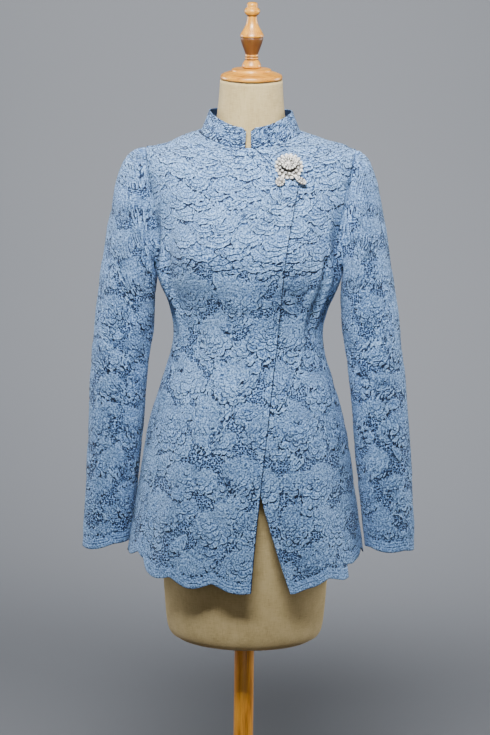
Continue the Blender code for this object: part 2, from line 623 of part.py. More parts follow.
def make_sleeve(name, side, collection):
    """A sleeve set in its armhole and hanging to a scalloped cuff; side is 1 on the left."""
    last = SLEEVE_RINGS[-1].ring

    def point_of(u, v):
        along = v * last
        row = SleeveRing(along, *(column(SLEEVE_RINGS, "ring", f, along) for f in SleeveRing._fields[1:]))
        turn = 360 * u
        outer = Vector((row.outer_x + side * row.outer_lean, 0, row.outer_z))
        inner = Vector((row.inner_x + side * row.inner_lean, 0, row.inner_z))
        back = row.left_back if side > 0 else row.right_back
        facing = math.cos(math.radians(turn))
        middle = (outer + inner) / 2 + Vector((0, SLEEVE_MIDDLE_Y + back, 0))
        fold = fold_height(SLEEVE_FOLDS, turn, along)
        radius = (outer - inner) / 2
        oval = middle + radius * facing + Vector((0, -row.depth, 0)) * math.sin(math.radians(turn))
        oval += ((oval - middle).normalized()) * fold
        oval.x *= side
        cuff = smooth(0.93, 1.0, v)
        oval.z += side * SLEEVE_HANG * smooth(0.3, 1.0, v)
        start, tilt = CUFF[side]
        oval.z -= cuff * CUFF_SCALLOP_DEPTH * (scallop(CUFF_SCALLOPS * (turn - start) / 360) - 0.5)
        oval.z -= cuff * tilt * facing
        if row.oval >= 1:
            return oval
        rim = armhole_point(turn, side)
        shift = Vector((side * (row.outer_x - SLEEVE_RINGS[0].outer_x), 0, 0))
        return mix(rim + shift * 0.4, oval, smooth(0, 1, row.oval)) if along > 0 else rim

    bm = sheet_grid(20, 23)
    on_cuff = [e for e in bm.edges if all(v.co.y > 1 - 1e-5 for v in e.verts)]
    bmesh.ops.subdivide_edges(bm, edges=on_cuff, cuts=2)
    place(bm, point_of)
    bmesh.ops.remove_doubles(bm, verts=bm.verts, dist=0.01 * MM)
    if side < 0:
        bmesh.ops.reverse_faces(bm, faces=bm.faces)
    make_wall(add_object(name, bm, "lace", collection))


def make_collar(collection):
    def point_of(u, v):
        angle = mix(COLLAR_GAP_HALF, 360 - COLLAR_GAP_HALF, u)
        fields = CollarRing._fields[1:]
        ring = Ring("collar", 0, *(column(COLLAR_RINGS, "share", f, v) for f in fields))
        point = ring_point(ring, angle)
        from_end = min(angle, 360 - angle) - COLLAR_GAP_HALF
        corner = (1 - smooth(0.0, COLLAR_CORNER_WIDTH, from_end)) ** 2
        point.z -= COLLAR_CORNER_DROP * corner * v * v
        signed = angle if angle < 180 else angle - 360
        over_wrap = smooth(WRAP_LIFT_START - 4, WRAP_LIFT_FULL, signed) * (1 - smooth(8.0, 16.0, signed))
        point.z += COLLAR_WRAP_RISE * over_wrap * (1 - v)
        return point

    bm = sheet_grid(36, 3)
    for vertex in bm.verts:
        end = 2 * vertex.co.x - 1
        vertex.co.x = 0.5 + 0.5 * math.copysign(1 - (1 - abs(end)) ** 1.25, end)
    place(bm, point_of)
    make_wall(add_object("collar", bm, "collar_lace", collection))


# --- brooch -------------------------------------------------------------------------------------
def brooch_frame():
    """Where the brooch sits: across, up and out from the cloth it is pinned on, in millimetres."""
    angle, station = place_on_front(BROOCH_ACROSS, BROOCH_HEIGHT)
    lift = WALL + LAYER_GAP
    middle = body_point(angle, station, lift)
    across = body_point(angle + 4, station, lift) - body_point(angle - 4, station, lift)
    up = body_point(angle, station + 8, lift) - body_point(angle, station - 8, lift)
    out = across.cross(up).normalized()
    across = Vector((0, 0, 1)).cross(out).normalized()
    up = out.cross(across)
    frame = Matrix((across, up, out)).transposed().to_4x4()
    frame.translation = middle + out * BROOCH_CLEAR
    return frame


def make_brooch(collection, joined):
    frame = brooch_frame()

    def petal(number, share):
        tier = ROSETTE_TIERS[number]
        turn = 2 * math.pi * share
        wave = math.cos(tier.petals * (turn - math.radians(ROSETTE_TURN[tier.petals])))
        radius = tier.radius * (1 + tier.lobe * wave)
        lean = ROSETTE_LEAN * tier.height / ROSETTE_TIERS[-1].height
        return frame @ Vector((radius * math.cos(turn), radius * math.sin(turn) + lean, tier.height))

    top = Vector((0, ROSETTE_LEAN, ROSETTE_TIERS[-1].height + 0.8))
    ends = (frame.translation, frame @ top)
    brooch = closed_rings("brooch", ROSETTE_SEGMENTS, len(ROSETTE_TIERS), petal, ends, "pearl", collection)
    for leaf in BROOCH_LEAVES:
        set_in = frame @ Matrix.Translation((leaf.right, leaf.up, LEAF_RAISE))
        set_in = set_in @ Matrix.Rotation(math.radians(leaf.turn), 4, "Z")
        layers = ((0.86, 0.0), (1.0, 0.28), (0.86, 0.62), (0.5, 0.92))

        def lobe(number, share, set_in=set_in, leaf=leaf):
            scale, rise = layers[number]
            turn = 2 * math.pi * share
            length = leaf.length / 2 * math.cos(turn)
            width = leaf.width / 2 * math.sin(turn) * (1 - 0.25 * math.cos(turn))
            return set_in @ Vector((scale * length, scale * width, rise * leaf.height))

        ends = (set_in.translation, set_in @ Vector((0, 0, leaf.height)))
        made = closed_rings(leaf.name, 16, len(layers), lobe, ends, "pearl", joined)
        made.hide_render = True
        made.display_type = "WIRE"
        join = brooch.modifiers.new(leaf.name, "BOOLEAN")
        join.operation = "UNION"
        join.solver = "EXACT"
        join.object = made


# --- dress form ---------------------------------------------------------------------------------
def make_torso(collection):
    first, last = FORM_RINGS[0].station, FORM_RINGS[-1].station
    low = [FORM_RINGS[0].station, FORM_RINGS[1].station, FORM_RINGS[2].station]
    rest = [mix(low[-1], last, (k + 1) / (FORM_ROWS - 3)) for k in range(FORM_ROWS - 3)]
    stations = low + rest

    def point_of(number, share):
        angle = 360 * share
        station = stations[number]
        signed = (angle + 180) % 360 - 180
        swell = bust_swell(signed, station, FORM_BUST_HEIGHT)
        return let_down(ring_point(ring_at(FORM_RINGS, station), angle) + outwards(angle) * swell)

    ends = (Vector((0, 2, FORM_RINGS[0].z_side)), Vector((0, 0, FORM_RINGS[-1].z_side)))
    closed_rings(
        "form_torso", FORM_SEGMENTS, len(stations), point_of, ends, "form_cloth", collection
    )


def make_turned(name, profile, foot_z, steps, material, collection):
    """A turned solid from its profile, screwed round the upright axis."""
    bm = bmesh.new()
    points = [bm.verts.new((row.radius * MM, 0, (foot_z + row.height) * MM)) for row in reversed(profile)]
    for first, second in zip(points, points[1:]):
        bm.edges.new((first, second))
    turned = add_object(name, bm, material, collection)
    screw = turned.modifiers.new("turned", "SCREW")
    screw.steps = steps
    screw.render_steps = steps
    screw.use_merge_vertices = True
    screw.merge_threshold = 0.00005
    screw.use_normal_calculate = True


def make_stand(collection):
    make_turned("neck_cap", CAP_PROFILE, CAP_FOOT_Z, 32, "turned_wood", collection)
    make_turned("finial", FINIAL_PROFILE, FINIAL_FOOT_Z, 20, "turned_wood", collection)
    make_turned("base", BASE_PROFILE, 0.0, 44, "turned_wood", collection)
    bm = bmesh.new()
    bmesh.ops.create_cone(
        bm, cap_ends=True, segments=24, radius1=POLE_RADIUS * MM, radius2=POLE_RADIUS * MM,
        depth=(POLE_TOP_Z - POLE_FOOT_Z) * MM,
    )
    bmesh.ops.translate(bm, verts=bm.verts, vec=(0, 0, (POLE_TOP_Z + POLE_FOOT_Z) / 2 * MM))
    add_object("pole", bm, "turned_wood", collection)


# --- building -----------------------------------------------------------------------------------
def main():
    collection = fresh_collection("kebaya_blouse_on_dress_form")
    joined = bpy.data.collections.new("joined_pieces")
    bpy.context.scene.collection.children.link(joined)
    make_fronts(collection)
    make_back(collection)
    make_sleeve("sleeve_left", 1, collection)
    make_sleeve("sleeve_right", -1, collection)
    make_collar(collection)
    make_brooch(collection, joined)
    make_torso(collection)
    make_stand(collection)


main()
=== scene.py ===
"""The finished looks of a lace kebaya blouse on its dress form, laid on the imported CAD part.

Metres, +Z up, front towards -Y. The cloth pieces repeat the part's own cutting tables, in
millimetres and degrees, on much finer grids. Each carries the lace's motifs as relief and as
distances stored on its points, from which the lace material draws rims, veins and net.
"""

import math
from collections import namedtuple

import bmesh
import bpy
import numpy as np
from mathutils import Matrix, Vector


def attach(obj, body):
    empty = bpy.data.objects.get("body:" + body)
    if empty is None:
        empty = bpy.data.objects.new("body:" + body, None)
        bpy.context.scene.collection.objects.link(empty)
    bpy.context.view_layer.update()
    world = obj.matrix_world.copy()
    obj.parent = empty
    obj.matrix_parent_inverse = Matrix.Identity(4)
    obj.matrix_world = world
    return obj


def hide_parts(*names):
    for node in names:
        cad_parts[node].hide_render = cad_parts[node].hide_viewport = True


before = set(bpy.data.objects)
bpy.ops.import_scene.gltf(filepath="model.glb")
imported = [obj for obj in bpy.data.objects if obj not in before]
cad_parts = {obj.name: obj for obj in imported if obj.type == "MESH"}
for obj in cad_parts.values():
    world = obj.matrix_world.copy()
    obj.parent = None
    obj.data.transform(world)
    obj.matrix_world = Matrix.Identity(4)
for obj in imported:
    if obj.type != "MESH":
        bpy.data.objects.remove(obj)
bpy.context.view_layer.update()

MM = 0.001  # one millimetre in the file's own metres
WALL = 2.0  # lace on its lining
LAYER_GAP = 1.5  # clear height between two layers of cloth

# --- the figure that the blouse is cut for ------------------------------------------------------
# Each ring: its station along the body, the heights of its front, side and back points, its half
# width, and where its front, side and back points lie front to back.
Ring = namedtuple("Ring", "name station z_front z_side z_back half_width y_front y_side y_back")
BODY_RINGS = (
    Ring("below_hem", 600, 600, 600, 600, 206, -147, 0, 152),
    Ring("hem", 690, 690, 690, 690, 190, -141, 0, 147),
    Ring("thigh", 790, 790, 790, 790, 174, -131, 0, 139),
    Ring("hip", 890, 890, 890, 890, 158, -121, 0, 128),
    Ring("high_hip", 955, 955, 955, 955, 140, -109, 0, 111),
    Ring("over_waist", 1000, 1000, 1000, 1000, 126, -98.5, 0, 93),
    Ring("waist", 1045, 1045, 1045, 1045, 118.5, -96, 0, 86),
    Ring("under_bust", 1085, 1085, 1085, 1085, 124, -102, 0, 88.5),
    Ring("low_bust", 1118, 1118, 1118, 1118, 136, -113, 0, 93.5),
    Ring("underarm", 1148, 1148, 1148, 1148, 145, -122.5, 1, 98.5),
    Ring("bust", 1185, 1185, 1185, 1185, 148, -127, 3, 103),
    Ring("chest", 1230, 1226, 1230, 1230, 151, -119, 6, 105),
    Ring("yoke", 1285, 1268, 1285, 1282, 158, -102, 9, 101),
    Ring("shoulder", 1336, 1302, 1336, 1326, 165, -81, 10, 89),
    Ring("mid_shoulder", 1384, 1328, 1351, 1353, 121, -65, 6, 72),
    Ring("neck", 1428, 1347, 1365, 1374, 79, -56, 2, 58),
)
BUST_HEIGHT, BUST_ANGLE, BUST_SPREAD = 10.5, 30.0, 20.0
BUST_STATION, BUST_RISE = 1183.0, 52.0

# --- soft folds of the worn cloth: height is outwards, and a trough has a negative height -------
Fold = namedtuple("Fold", "name low_angle high_angle low_station high_station height half_width")
BODY_FOLDS = (
    Fold("right_armpit_ridge", -60, -65, 1035, 1215, 7.0, 5.0),
    Fold("right_armpit_trough", -71, -73, 1030, 1195, -5.0, 5.0),
    Fold("left_armpit_ridge", 47, 52, 1045, 1225, 5.5, 4.5),
    Fold("left_armpit_trough", 56, 59, 1040, 1215, -4.0, 4.5),
    Fold("left_side_ridge", 65, 67, 1050, 1210, 5.5, 4.5),
    Fold("right_waist_drag", -46, -28, 985, 1075, -2.5, 8.0),
    Fold("left_waist_drag", 36, 24, 980, 1075, -2.5, 8.0),
    Fold("right_skirt_flute", -40, -36, 560, 900, 5.0, 11.0),
    Fold("left_skirt_flute", 46, 42, 560, 880, 5.0, 10.0),
    Fold("back_waist_right", 205, 200, 990, 1100, -4.0, 9.0),
    Fold("back_waist_left", 155, 160, 985, 1110, -4.0, 9.0),
    Fold("back_flute_right", 218, 212, 560, 900, 6.0, 14.0),
    Fold("back_flute_left", 140, 146, 560, 890, 6.0, 14.0),
    Fold("back_flute_middle", 181, 180, 560, 860, 4.0, 11.0),
    Fold("back_armpit_right", 250, 245, 1060, 1210, 3.5, 8.0),
    Fold("back_armpit_left", 110, 115, 1060, 1210, 3.5, 8.0),
)

SHOULDER_DROP = 6.5  # how much lower the right shoulder is than the left

# Finer creases of the worn cloth, besides the part's own folds.
BODY_CREASES = (
    Fold("right_bust_drag", -58, -48, 1120, 1250, -2.2, 3.2),
    Fold("right_shoulder_drag", -66, -54, 1180, 1300, 2.0, 3.5),
    Fold("left_bust_drag", 60, 46, 1120, 1250, -2.2, 3.2),
    Fold("right_waist_crease", -74, -52, 1000, 1062, 2.4, 3.6),
    Fold("right_waist_crease_low", -66, -58, 960, 1010, -1.8, 4.0),
    Fold("left_waist_crease", 72, 48, 1004, 1068, 2.4, 3.6),
    Fold("right_skirt_dip", -52, -50, 600, 880, -2.6, 6.0),
    Fold("left_skirt_dip", 30, 26, 600, 860, -2.2, 6.0),
    Fold("middle_skirt_flute", -18, -16, 600, 830, 2.4, 7.0),
    Fold("right_armpit_hollow", -75, -69, 1090, 1235, -6.8, 6.0),
    Fold("right_armpit_ridge", -64, -57, 1080, 1240, 4.0, 3.5),
    Fold("right_side_fullness", -92, -90, 1060, 1190, 5.0, 8.0),
    Fold("left_armpit_hollow", 75, 69, 1090, 1235, -8.0, 6.0),
    Fold("left_armpit_ridge", 64, 57, 1080, 1240, 4.0, 3.5),
    Fold("left_side_fullness", 92, 90, 1060, 1190, 5.0, 8.0),
)
SLEEVE_CREASES = {
    1: (
        Fold("underarm_fullness", 172, 172, 0.4, 7.6, 5.5, 34.0),
        Fold("armhole_pull", 112, 62, 1.0, 4.5, 2.0, 8.0),
        Fold("armhole_pull_low", 130, 85, 1.5, 6.0, -2.4, 8.0),
        Fold("inner_elbow", 120, 75, 8.6, 10.8, -2.6, 11.0),
        Fold("inner_elbow_low", 140, 80, 10.2, 11.8, 2.2, 10.0),
        Fold("upper_swirl", 60, 105, 3.0, 6.6, -1.8, 10.0),
        Fold("forearm_swirl", 55, 100, 12.0, 14.6, -1.6, 11.0),
    ),
    -1: (
        Fold("underarm_fullness", 172, 172, 0.4, 7.4, 5.5, 34.0),
        Fold("armhole_pull", 108, 56, 1.0, 4.8, 2.2, 8.0),
        Fold("armhole_pull_low", 126, 80, 1.5, 6.4, -2.6, 8.0),
        Fold("inner_elbow", 125, 70, 8.2, 10.4, -2.8, 11.0),
        Fold("inner_elbow_low", 135, 85, 10.0, 12.2, 2.0, 10.0),
        Fold("upper_swirl", 70, 110, 3.4, 7.0, -2.0, 10.0),
        Fold("forearm_swirl", 60, 95, 12.4, 15.0, -1.4, 12.0),
    ),
}

# --- edges of the cut pieces --------------------------------------------------------------------
# Side seam: its angle round the figure on the left side, and how it rounds under the arm.
Seam = namedtuple("Seam", "station angle")
SIDE_SEAM = (Seam(640, 58), Seam(700, 59.5), Seam(800, 63), Seam(890, 69), Seam(1045, 81), Seam(1148, 90))
SIDE_LEAN = 1.7  # degrees the left seam's foot is set further round than the right one's, halved
SIDE_LEAN_TOP = 900.0
# Armhole: how far it is cut in from the side, in degrees, at each station.
ARMHOLE_FRONT = (
    Seam(1148, 0), Seam(1154, 6.5), Seam(1168, 11.5), Seam(1192, 15), Seam(1225, 16),
    Seam(1262, 14.5), Seam(1300, 10.5), Seam(1324, 5.5), Seam(1336, 0),
)
ARMHOLE_BACK = (
    Seam(1148, 0), Seam(1154, 6.5), Seam(1168, 11), Seam(1192, 14), Seam(1225, 15),
    Seam(1262, 13.5), Seam(1300, 10), Seam(1324, 5), Seam(1336, 0),
)
# A row is a place along a piece's edge, 0 at the hem and 1 at the shoulder seam's end.
SideRow = namedtuple("SideRow", "row station")
SIDE_ROWS = (
    SideRow(0.0, 640), SideRow(0.2, 800), SideRow(0.48, 1045), SideRow(0.64, 1148), SideRow(0.79, 1225),
    SideRow(0.9, 1285), SideRow(1.0, 1336),
)
# Free edges of the two fronts: how far across from the middle, towards the left sleeve, and up.
EdgePoint = namedtuple("EdgePoint", "row across height")
WRAP_EDGE = (
    EdgePoint(0.00, 19, 640), EdgePoint(0.09, 24, 720), EdgePoint(0.20, 32, 815), EdgePoint(0.33, 42, 930),
    EdgePoint(0.46, 51, 1045), EdgePoint(0.57, 59, 1125), EdgePoint(0.68, 67, 1199),
    EdgePoint(0.79, 81, 1295),
)
WRAP_SLANT = (EdgePoint(0.79, 81, 1295), EdgePoint(0.84, 40, 1322), EdgePoint(0.89, 10, 1347.5))
UNDER_EDGE = (
    EdgePoint(0.00, 84, 640), EdgePoint(0.10, 58, 718), EdgePoint(0.22, 30, 815), EdgePoint(0.36, 12, 930),
    EdgePoint(0.50, 4, 1045), EdgePoint(0.70, 2, 1199), EdgePoint(0.885, 3, 1346.9),
)
NECK_STATION = 1428.0
SHOULDER_HALF_GAP = 0.6  # degrees the front and back each stop short of the shoulder seam
WRAP_LIFT_START = -15.0  # degrees: where the wrap starts to rise over the left front
WRAP_LIFT_FULL = -3.5

# --- hem: height of its mean line at each angle round the figure --------------------------------
HemPoint = namedtuple("HemPoint", "angle height")
FRONT_HEM = (
    HemPoint(-60, 672), HemPoint(-45, 666.5), HemPoint(-34.5, 661.5), HemPoint(-24, 657.6),
    HemPoint(-13, 657.6), HemPoint(-2, 655), HemPoint(6, 649.5), HemPoint(24, 644.5), HemPoint(35, 661.5),
    HemPoint(46, 664.5), HemPoint(52, 666.5), HemPoint(60, 664.5),
)
BACK_HEM = (
    HemPoint(58, 678), HemPoint(64, 680), HemPoint(72, 690), HemPoint(83, 690.5), HemPoint(95, 686),
    HemPoint(130, 670), HemPoint(180, 660), HemPoint(230, 667), HemPoint(262, 676), HemPoint(275, 679),
    HemPoint(293, 688), HemPoint(302, 688),
)
HEM_STATION = 640.0  # the height that the edge tables call the hem
ROW_HEIGHT = 800.0  # height of one whole row number near the hem
HEM_FADE = 0.16  # share of a piece's rows over which the hem's shape dies out
SCALLOP_PITCH = 21.5  # degrees of one scallop
SCALLOP_DEPTH = 10.0
Hem = namedtuple("Hem", "line start")  # its mean line, and the angle of one notch between scallops
RIGHT_FRONT_HEM = Hem(FRONT_HEM, -13.0)
LEFT_FRONT_HEM = Hem(FRONT_HEM, 45.8)
BACK_PIECE_HEM = Hem(BACK_HEM, 83.0)
VENT_CURVE_RIGHT, VENT_CURVE_LEFT = 15.0, 2.5  # how far the corner at each side vent is rounded up
VENT_WIDTH = 7.0  # degrees over which it rounds
VENT_SPREAD = 2.0  # how far a front stands out over the back at the vent
VENT_TOP = 745.0

# --- sleeves ------------------------------------------------------------------------------------
# Outer and inner line of a sleeve seen from the front, half the difference between the left and
# right arms at each, how far the right and left arms' middles lie back from the shoulder, and
# half the depth. Oval 0 keeps the armhole's own shape and 1 is a plain oval.
SleeveRing = namedtuple(
    "SleeveRing",
    "ring outer_x outer_z outer_lean inner_x inner_z inner_lean right_back left_back depth oval",
)
SLEEVE_RINGS = (
    SleeveRing(0, 165.5, 1336, 0, 145.5, 1148, 0, 0, 0, 34, 0.0),
    SleeveRing(1, 176, 1333, -2, 146.4, 1146.5, 0, 0, 0, 39, 0.2),
    SleeveRing(2, 185, 1326, -4, 147.4, 1142.5, 0, 0, 0, 44, 0.5),
    SleeveRing(3, 193, 1315, -5, 148.2, 1137, 0, 0, 0, 47, 0.8),
    SleeveRing(4, 200.5, 1298, -5.5, 148.8, 1130, -0.5, 0, 0, 49, 1.0),
    SleeveRing(5, 208.5, 1272, -5.5, 149.2, 1121, -1, 1, 0, 50, 1.0),
    SleeveRing(6, 216, 1237, -5, 149.4, 1109, -1.5, 3, 0, 50, 1.0),
    SleeveRing(7, 223.5, 1196, -5, 149.6, 1093, -2, 5, 1, 49.5, 1.0),
    SleeveRing(8, 231, 1150, -5, 150, 1073, -2, 8, 2, 48.5, 1.0),
    SleeveRing(9, 238, 1104, -4.5, 151, 1049, -2, 11, 3, 47.5, 1.0),
    SleeveRing(10, 244, 1058, -3.5, 154.5, 1021, -1.5, 13, 4, 46.5, 1.0),
    SleeveRing(11, 249.5, 1008, -3, 160, 985, -1, 16, 5, 45.5, 1.0),
    SleeveRing(12, 254.5, 954, -2, 165.5, 942, -0.5, 19, 6, 44.5, 1.0),
    SleeveRing(13, 258.5, 898, 0, 169.5, 892, 0, 22, 7, 43, 1.0),
    SleeveRing(14, 262, 840, 1, 175, 838, 0, 24, 8, 41.5, 1.0),
    SleeveRing(15, 265.5, 784, 1.5, 180.5, 784, 0.5, 26, 9, 40, 1.0),
    SleeveRing(16, 268.5, 734, 2.0, 186, 734, 1, 28, 10, 38.5, 1.0),
    SleeveRing(17, 271, 686.5, 1.0, 191.5, 686.5, 1, 29, 10, 37.5, 1.0),
)
SLEEVE_MIDDLE_Y = 6.0
SLEEVE_HANG = 6.0  # how much higher the left cuff hangs and how much lower the right one
# Folds of a sleeve: angle round it from its top, through its front, and ring number along it.
SLEEVE_FOLDS = (
    Fold("underarm_drag", 118, 150, 3.0, 8.5, -3.0, 18.0),
    Fold("elbow_upper", 165, 125, 8.2, 12.0, -3.5, 20.0),
    Fold("elbow_lower", 185, 215, 9.5, 13.5, -3.0, 20.0),
    Fold("back_drag", 230, 245, 3.0, 9.0, -2.5, 20.0),
    Fold("forearm", 60, 80, 11.0, 17.0, -1.5, 22.0),
)
CUFF_SCALLOPS = 4
CUFF_SCALLOP_DEPTH = 3.4
# For each side: degrees round the cuff where two scallops meet, and how much its outer side sinks.
CUFF = {1: (51.0, 2.0), -1: (20.0, 8.5)}

# --- stand collar: share is up the band ---------------------------------------------------------
CollarRing = namedtuple("CollarRing", "share z_front z_side z_back half_width y_front y_side y_back")
COLLAR_RINGS = (
    CollarRing(0.0, 1348.4, 1366.2, 1375.3, 78.0, -55.2, 2, 57.2),
    CollarRing(0.5, 1362.5, 1383.0, 1386.0, 71.0, -53.5, 1, 53.5),
    CollarRing(1.0, 1378.5, 1399.0, 1396.5, 65.5, -51.0, 0, 50.0),
)
COLLAR_GAP_HALF = 3.2  # degrees of the notch at the throat, either side
COLLAR_CORNER_DROP = 5.0
COLLAR_CORNER_WIDTH = 8.0  # degrees

# --- dress form ---------------------------------------------------------------------------------
FORM_RINGS = (
    Ring("foot", 540, 540, 540, 540, 112, -90, 2, 96),
    Ring("foot_round", 547, 547, 547, 547, 122, -98, 2, 104),
    Ring("foot_side", 564, 564, 564, 564, 127, -102, 2, 108),
    Ring("low_thigh", 650, 650, 650, 650, 134, -106, 1, 112),
    Ring("thigh", 760, 760, 760, 760, 143, -110, 0, 119),
    Ring("hip", 860, 860, 860, 860, 146, -109, 0, 119),
    Ring("high_hip", 940, 940, 940, 940, 133, -98, 0, 103),
    Ring("over_waist", 1000, 1000, 1000, 1000, 114, -87, 0, 82),
    Ring("waist", 1045, 1045, 1045, 1045, 107, -83, 0, 73),
    Ring("under_bust", 1085, 1085, 1085, 1085, 111, -92, 0, 77),
    Ring("low_bust", 1120, 1120, 1120, 1120, 122, -104, 0, 84),
    Ring("underarm", 1150, 1150, 1150, 1150, 132, -113, 1, 91),
    Ring("bust", 1185, 1185, 1185, 1185, 138, -119, 3, 97),
    Ring("chest", 1230, 1226, 1230, 1230, 142, -112, 6, 99),
    Ring("yoke", 1285, 1265, 1283, 1279, 149, -96, 9, 95),
    Ring("shoulder", 1328, 1297, 1331, 1321, 154, -76, 10, 84),
    Ring("mid_shoulder", 1374, 1321, 1345.5, 1346.5, 114, -60, 6, 67),
    Ring("neck_root", 1412, 1339, 1356, 1362, 74, -50, 3, 52),
    Ring("low_neck", 1440, 1364, 1376, 1380, 57, -45, 2, 46),
    Ring("neck", 1478, 1406, 1410, 1412, 51.5, -46, 0, 46),
    Ring("neck_top", 1516, 1447, 1447, 1447, 49, -45, 0, 45),
)
FORM_BUST_HEIGHT = 7.0
POLE_RADIUS = 16.0
POLE_FOOT_Z = 34.4
POLE_TOP_Z = 539.5

# --- brooch's place
BROOCH_ACROSS, BROOCH_HEIGHT = 64.5, 1318.5  # the middle of the rosette
BROOCH_CLEAR = 0.5

# --- tables and rings ---------------------------------------------------------------------------
def smooth(low, high, value):
    """0 below low, 1 above high, and an S curve between."""
    share = np.clip((np.asarray(value, float) - low) / (high - low), 0.0, 1.0)
    return share * share * (3 - 2 * share)


def mix(first, second, share):
    return first + (second - first) * share


def curve_through(keys, values, at):
    """A smooth curve through the values at rising keys, with level ends held beyond them."""
    keys, values = np.asarray(keys, float), np.asarray(values, float)
    at = np.clip(np.asarray(at, float), keys[0], keys[-1])
    spans = np.diff(keys)
    steps = np.diff(values) / spans
    slopes = np.concatenate((steps[:1], np.zeros(len(steps) - 1), steps[-1:]))
    before, after = steps[:-1], steps[1:]
    same_way = before * after > 0
    total = np.where(same_way, before + after, 1.0)
    slopes[1:-1] = np.where(same_way, 2 * before * after / total, 0.0)
    i = np.clip(np.searchsorted(keys, at, side="right") - 1, 0, len(steps) - 1)
    span = spans[i]
    t = (at - keys[i]) / span
    return (
        (2 * t**3 - 3 * t**2 + 1) * values[i]
        + (t**3 - 2 * t**2 + t) * span * slopes[i]
        + (3 * t**2 - 2 * t**3) * values[i + 1]
        + (t**3 - t**2) * span * slopes[i + 1]
    )


def column(table, key, name, at):
    return curve_through([getattr(row, key) for row in table], [getattr(row, name) for row in table], at)


def ring_at(rings, station):
    """The ring at any station, every column on its own smooth curve."""
    fields = Ring._fields[2:]
    return Ring("between", station, *(column(rings, "station", name, station) for name in fields))


def xyz(x, y, z):
    return np.stack(np.broadcast_arrays(x, y, z), axis=-1).astype(float)


def unit(vectors):
    return vectors / np.maximum(np.linalg.norm(vectors, axis=-1, keepdims=True), 1e-9)


def ring_point(ring, angle):
    """Points of the ring, at angles in degrees from the front towards the left side."""
    turn = np.radians(angle)
    forward = np.cos(turn)
    end_y = np.where(forward > 0, ring.y_front, ring.y_back)
    end_z = np.where(forward > 0, ring.z_front, ring.z_back)
    return xyz(
        ring.half_width * np.sin(turn),
        mix(ring.y_side, end_y, np.abs(forward)),
        mix(ring.z_side, end_z, forward * forward),
    )


def outwards(angle):
    return xyz(np.sin(np.radians(angle)), -np.cos(np.radians(angle)), 0.0)


def bust_swell(angle, station, height):
    spread = ((np.abs(angle) - BUST_ANGLE) / BUST_SPREAD) ** 2
    rise = ((station - BUST_STATION) / BUST_RISE) ** 2
    return np.where(np.abs(angle) < 90, height * np.exp(-spread - rise), 0.0)


def fold_height(folds, angle, along):
    """Height of all the soft folds together at places on the cloth."""
    total = np.zeros(np.broadcast(angle, along).shape)
    for fold in folds:
        share = np.clip((along - fold.low_station) / (fold.high_station - fold.low_station), 0.0, 1.0)
        apart = (angle - mix(fold.low_angle, fold.high_angle, share) + 180) % 360 - 180
        total += fold.height * np.sin(np.pi * share) * np.exp(-((apart / fold.half_width) ** 2))
    return total


def let_down(points):
    """The points with the right shoulder let down: the two shoulders slope unevenly."""
    drop = SHOULDER_DROP * smooth(98.0, 142.0, -points[..., 0]) * smooth(1270.0, 1345.0, points[..., 2])
    points[..., 2] -= drop
    return points


def ease_shoulders(points):
    """Eases cloth over a shoulder: the hollow by the armhole is soft, the sleeve's top is full."""
    across, z = points[..., 0], points[..., 2]
    out = np.abs(across)
    front = 1 - smooth(-14.0, 4.0, points[..., 1])
    level = np.interp(z, EASE_LEVELS, EASE_FILLS)
    rim_out = np.where(across > 0, rim_across(z, 1), rim_across(z, -1))
    points[..., 1] -= front * level * np.exp(-np.abs(out - rim_out) / 11.0)
    top = smooth(1235.0, 1295.0, z)
    left = 4.0 * smooth(174.0, 188.0, out) - 2.4 * np.exp(-(((out - 157.0) / 7.0) ** 2))
    left = left + 1.0 * np.exp(-(((out - 167.0) / 4.5) ** 2))
    right = 3.5 * smooth(152.0, 176.0, out) + 1.8 * np.exp(-(((out - 166.0) / 5.0) ** 2))
    points[..., 2] += top * np.where(across > 0, left, right)
    return points


def body_point(angle, station, lift=0.0):
    """Points of the blouse's outer face on the figure, or that much above it, in millimetres."""
    angle, station = np.broadcast_arrays(np.asarray(angle, float), np.asarray(station, float))
    proud = bust_swell(angle, station, BUST_HEIGHT) + fold_height(BODY_FOLDS, angle, station)
    proud = proud + fold_height(BODY_CREASES, angle, station)
    point = let_down(ring_point(ring_at(BODY_RINGS, station), angle) + outwards(angle) * proud[..., None])
    if np.any(lift):
        point = point + body_normal(angle, station) * np.asarray(lift, float)[..., None]
    return point


def body_normal(angle, station):
    around = body_point(angle + 1, station) - body_point(angle - 1, station)
    up = body_point(angle, np.minimum(station + 3, NECK_STATION)) - body_point(angle, station - 3)
    return unit(np.cross(around, up))


def place_on_front(across, height):
    """Angles and stations of the points of the figure's front that are this far across and up."""
    angle, station = np.zeros(np.shape(across)), np.asarray(height, float)
    for _ in range(12):
        here = body_point(angle, station)
        station = np.minimum(station + (height - here[..., 2]) * 1.4, NECK_STATION)
        angle = angle + np.degrees((across - here[..., 0]) / ring_at(BODY_RINGS, station).half_width)
    return angle, station


def rim_across(z, side):
    """How far out the front half of the armhole's rim is at a height."""
    stations = np.linspace(ARMHOLE_FRONT[0].station, ARMHOLE_FRONT[-1].station, 60)
    rim = body_point(side * (90 - column(ARMHOLE_FRONT, "station", "angle", stations)), stations)
    return np.interp(z, rim[:, 2], np.abs(rim[:, 0]))


EASE_LEVELS = (1195.0, 1215.0, 1245.0, 1275.0, 1300.0, 1322.0, 1340.0)
EASE_FILLS = (0.0, 2.5, 8.0, 13.0, 17.0, 12.0, 3.0)


# --- edges of the pieces ------------------------------------------------------------------------
Edge = namedtuple("Edge", "rows angles stations")


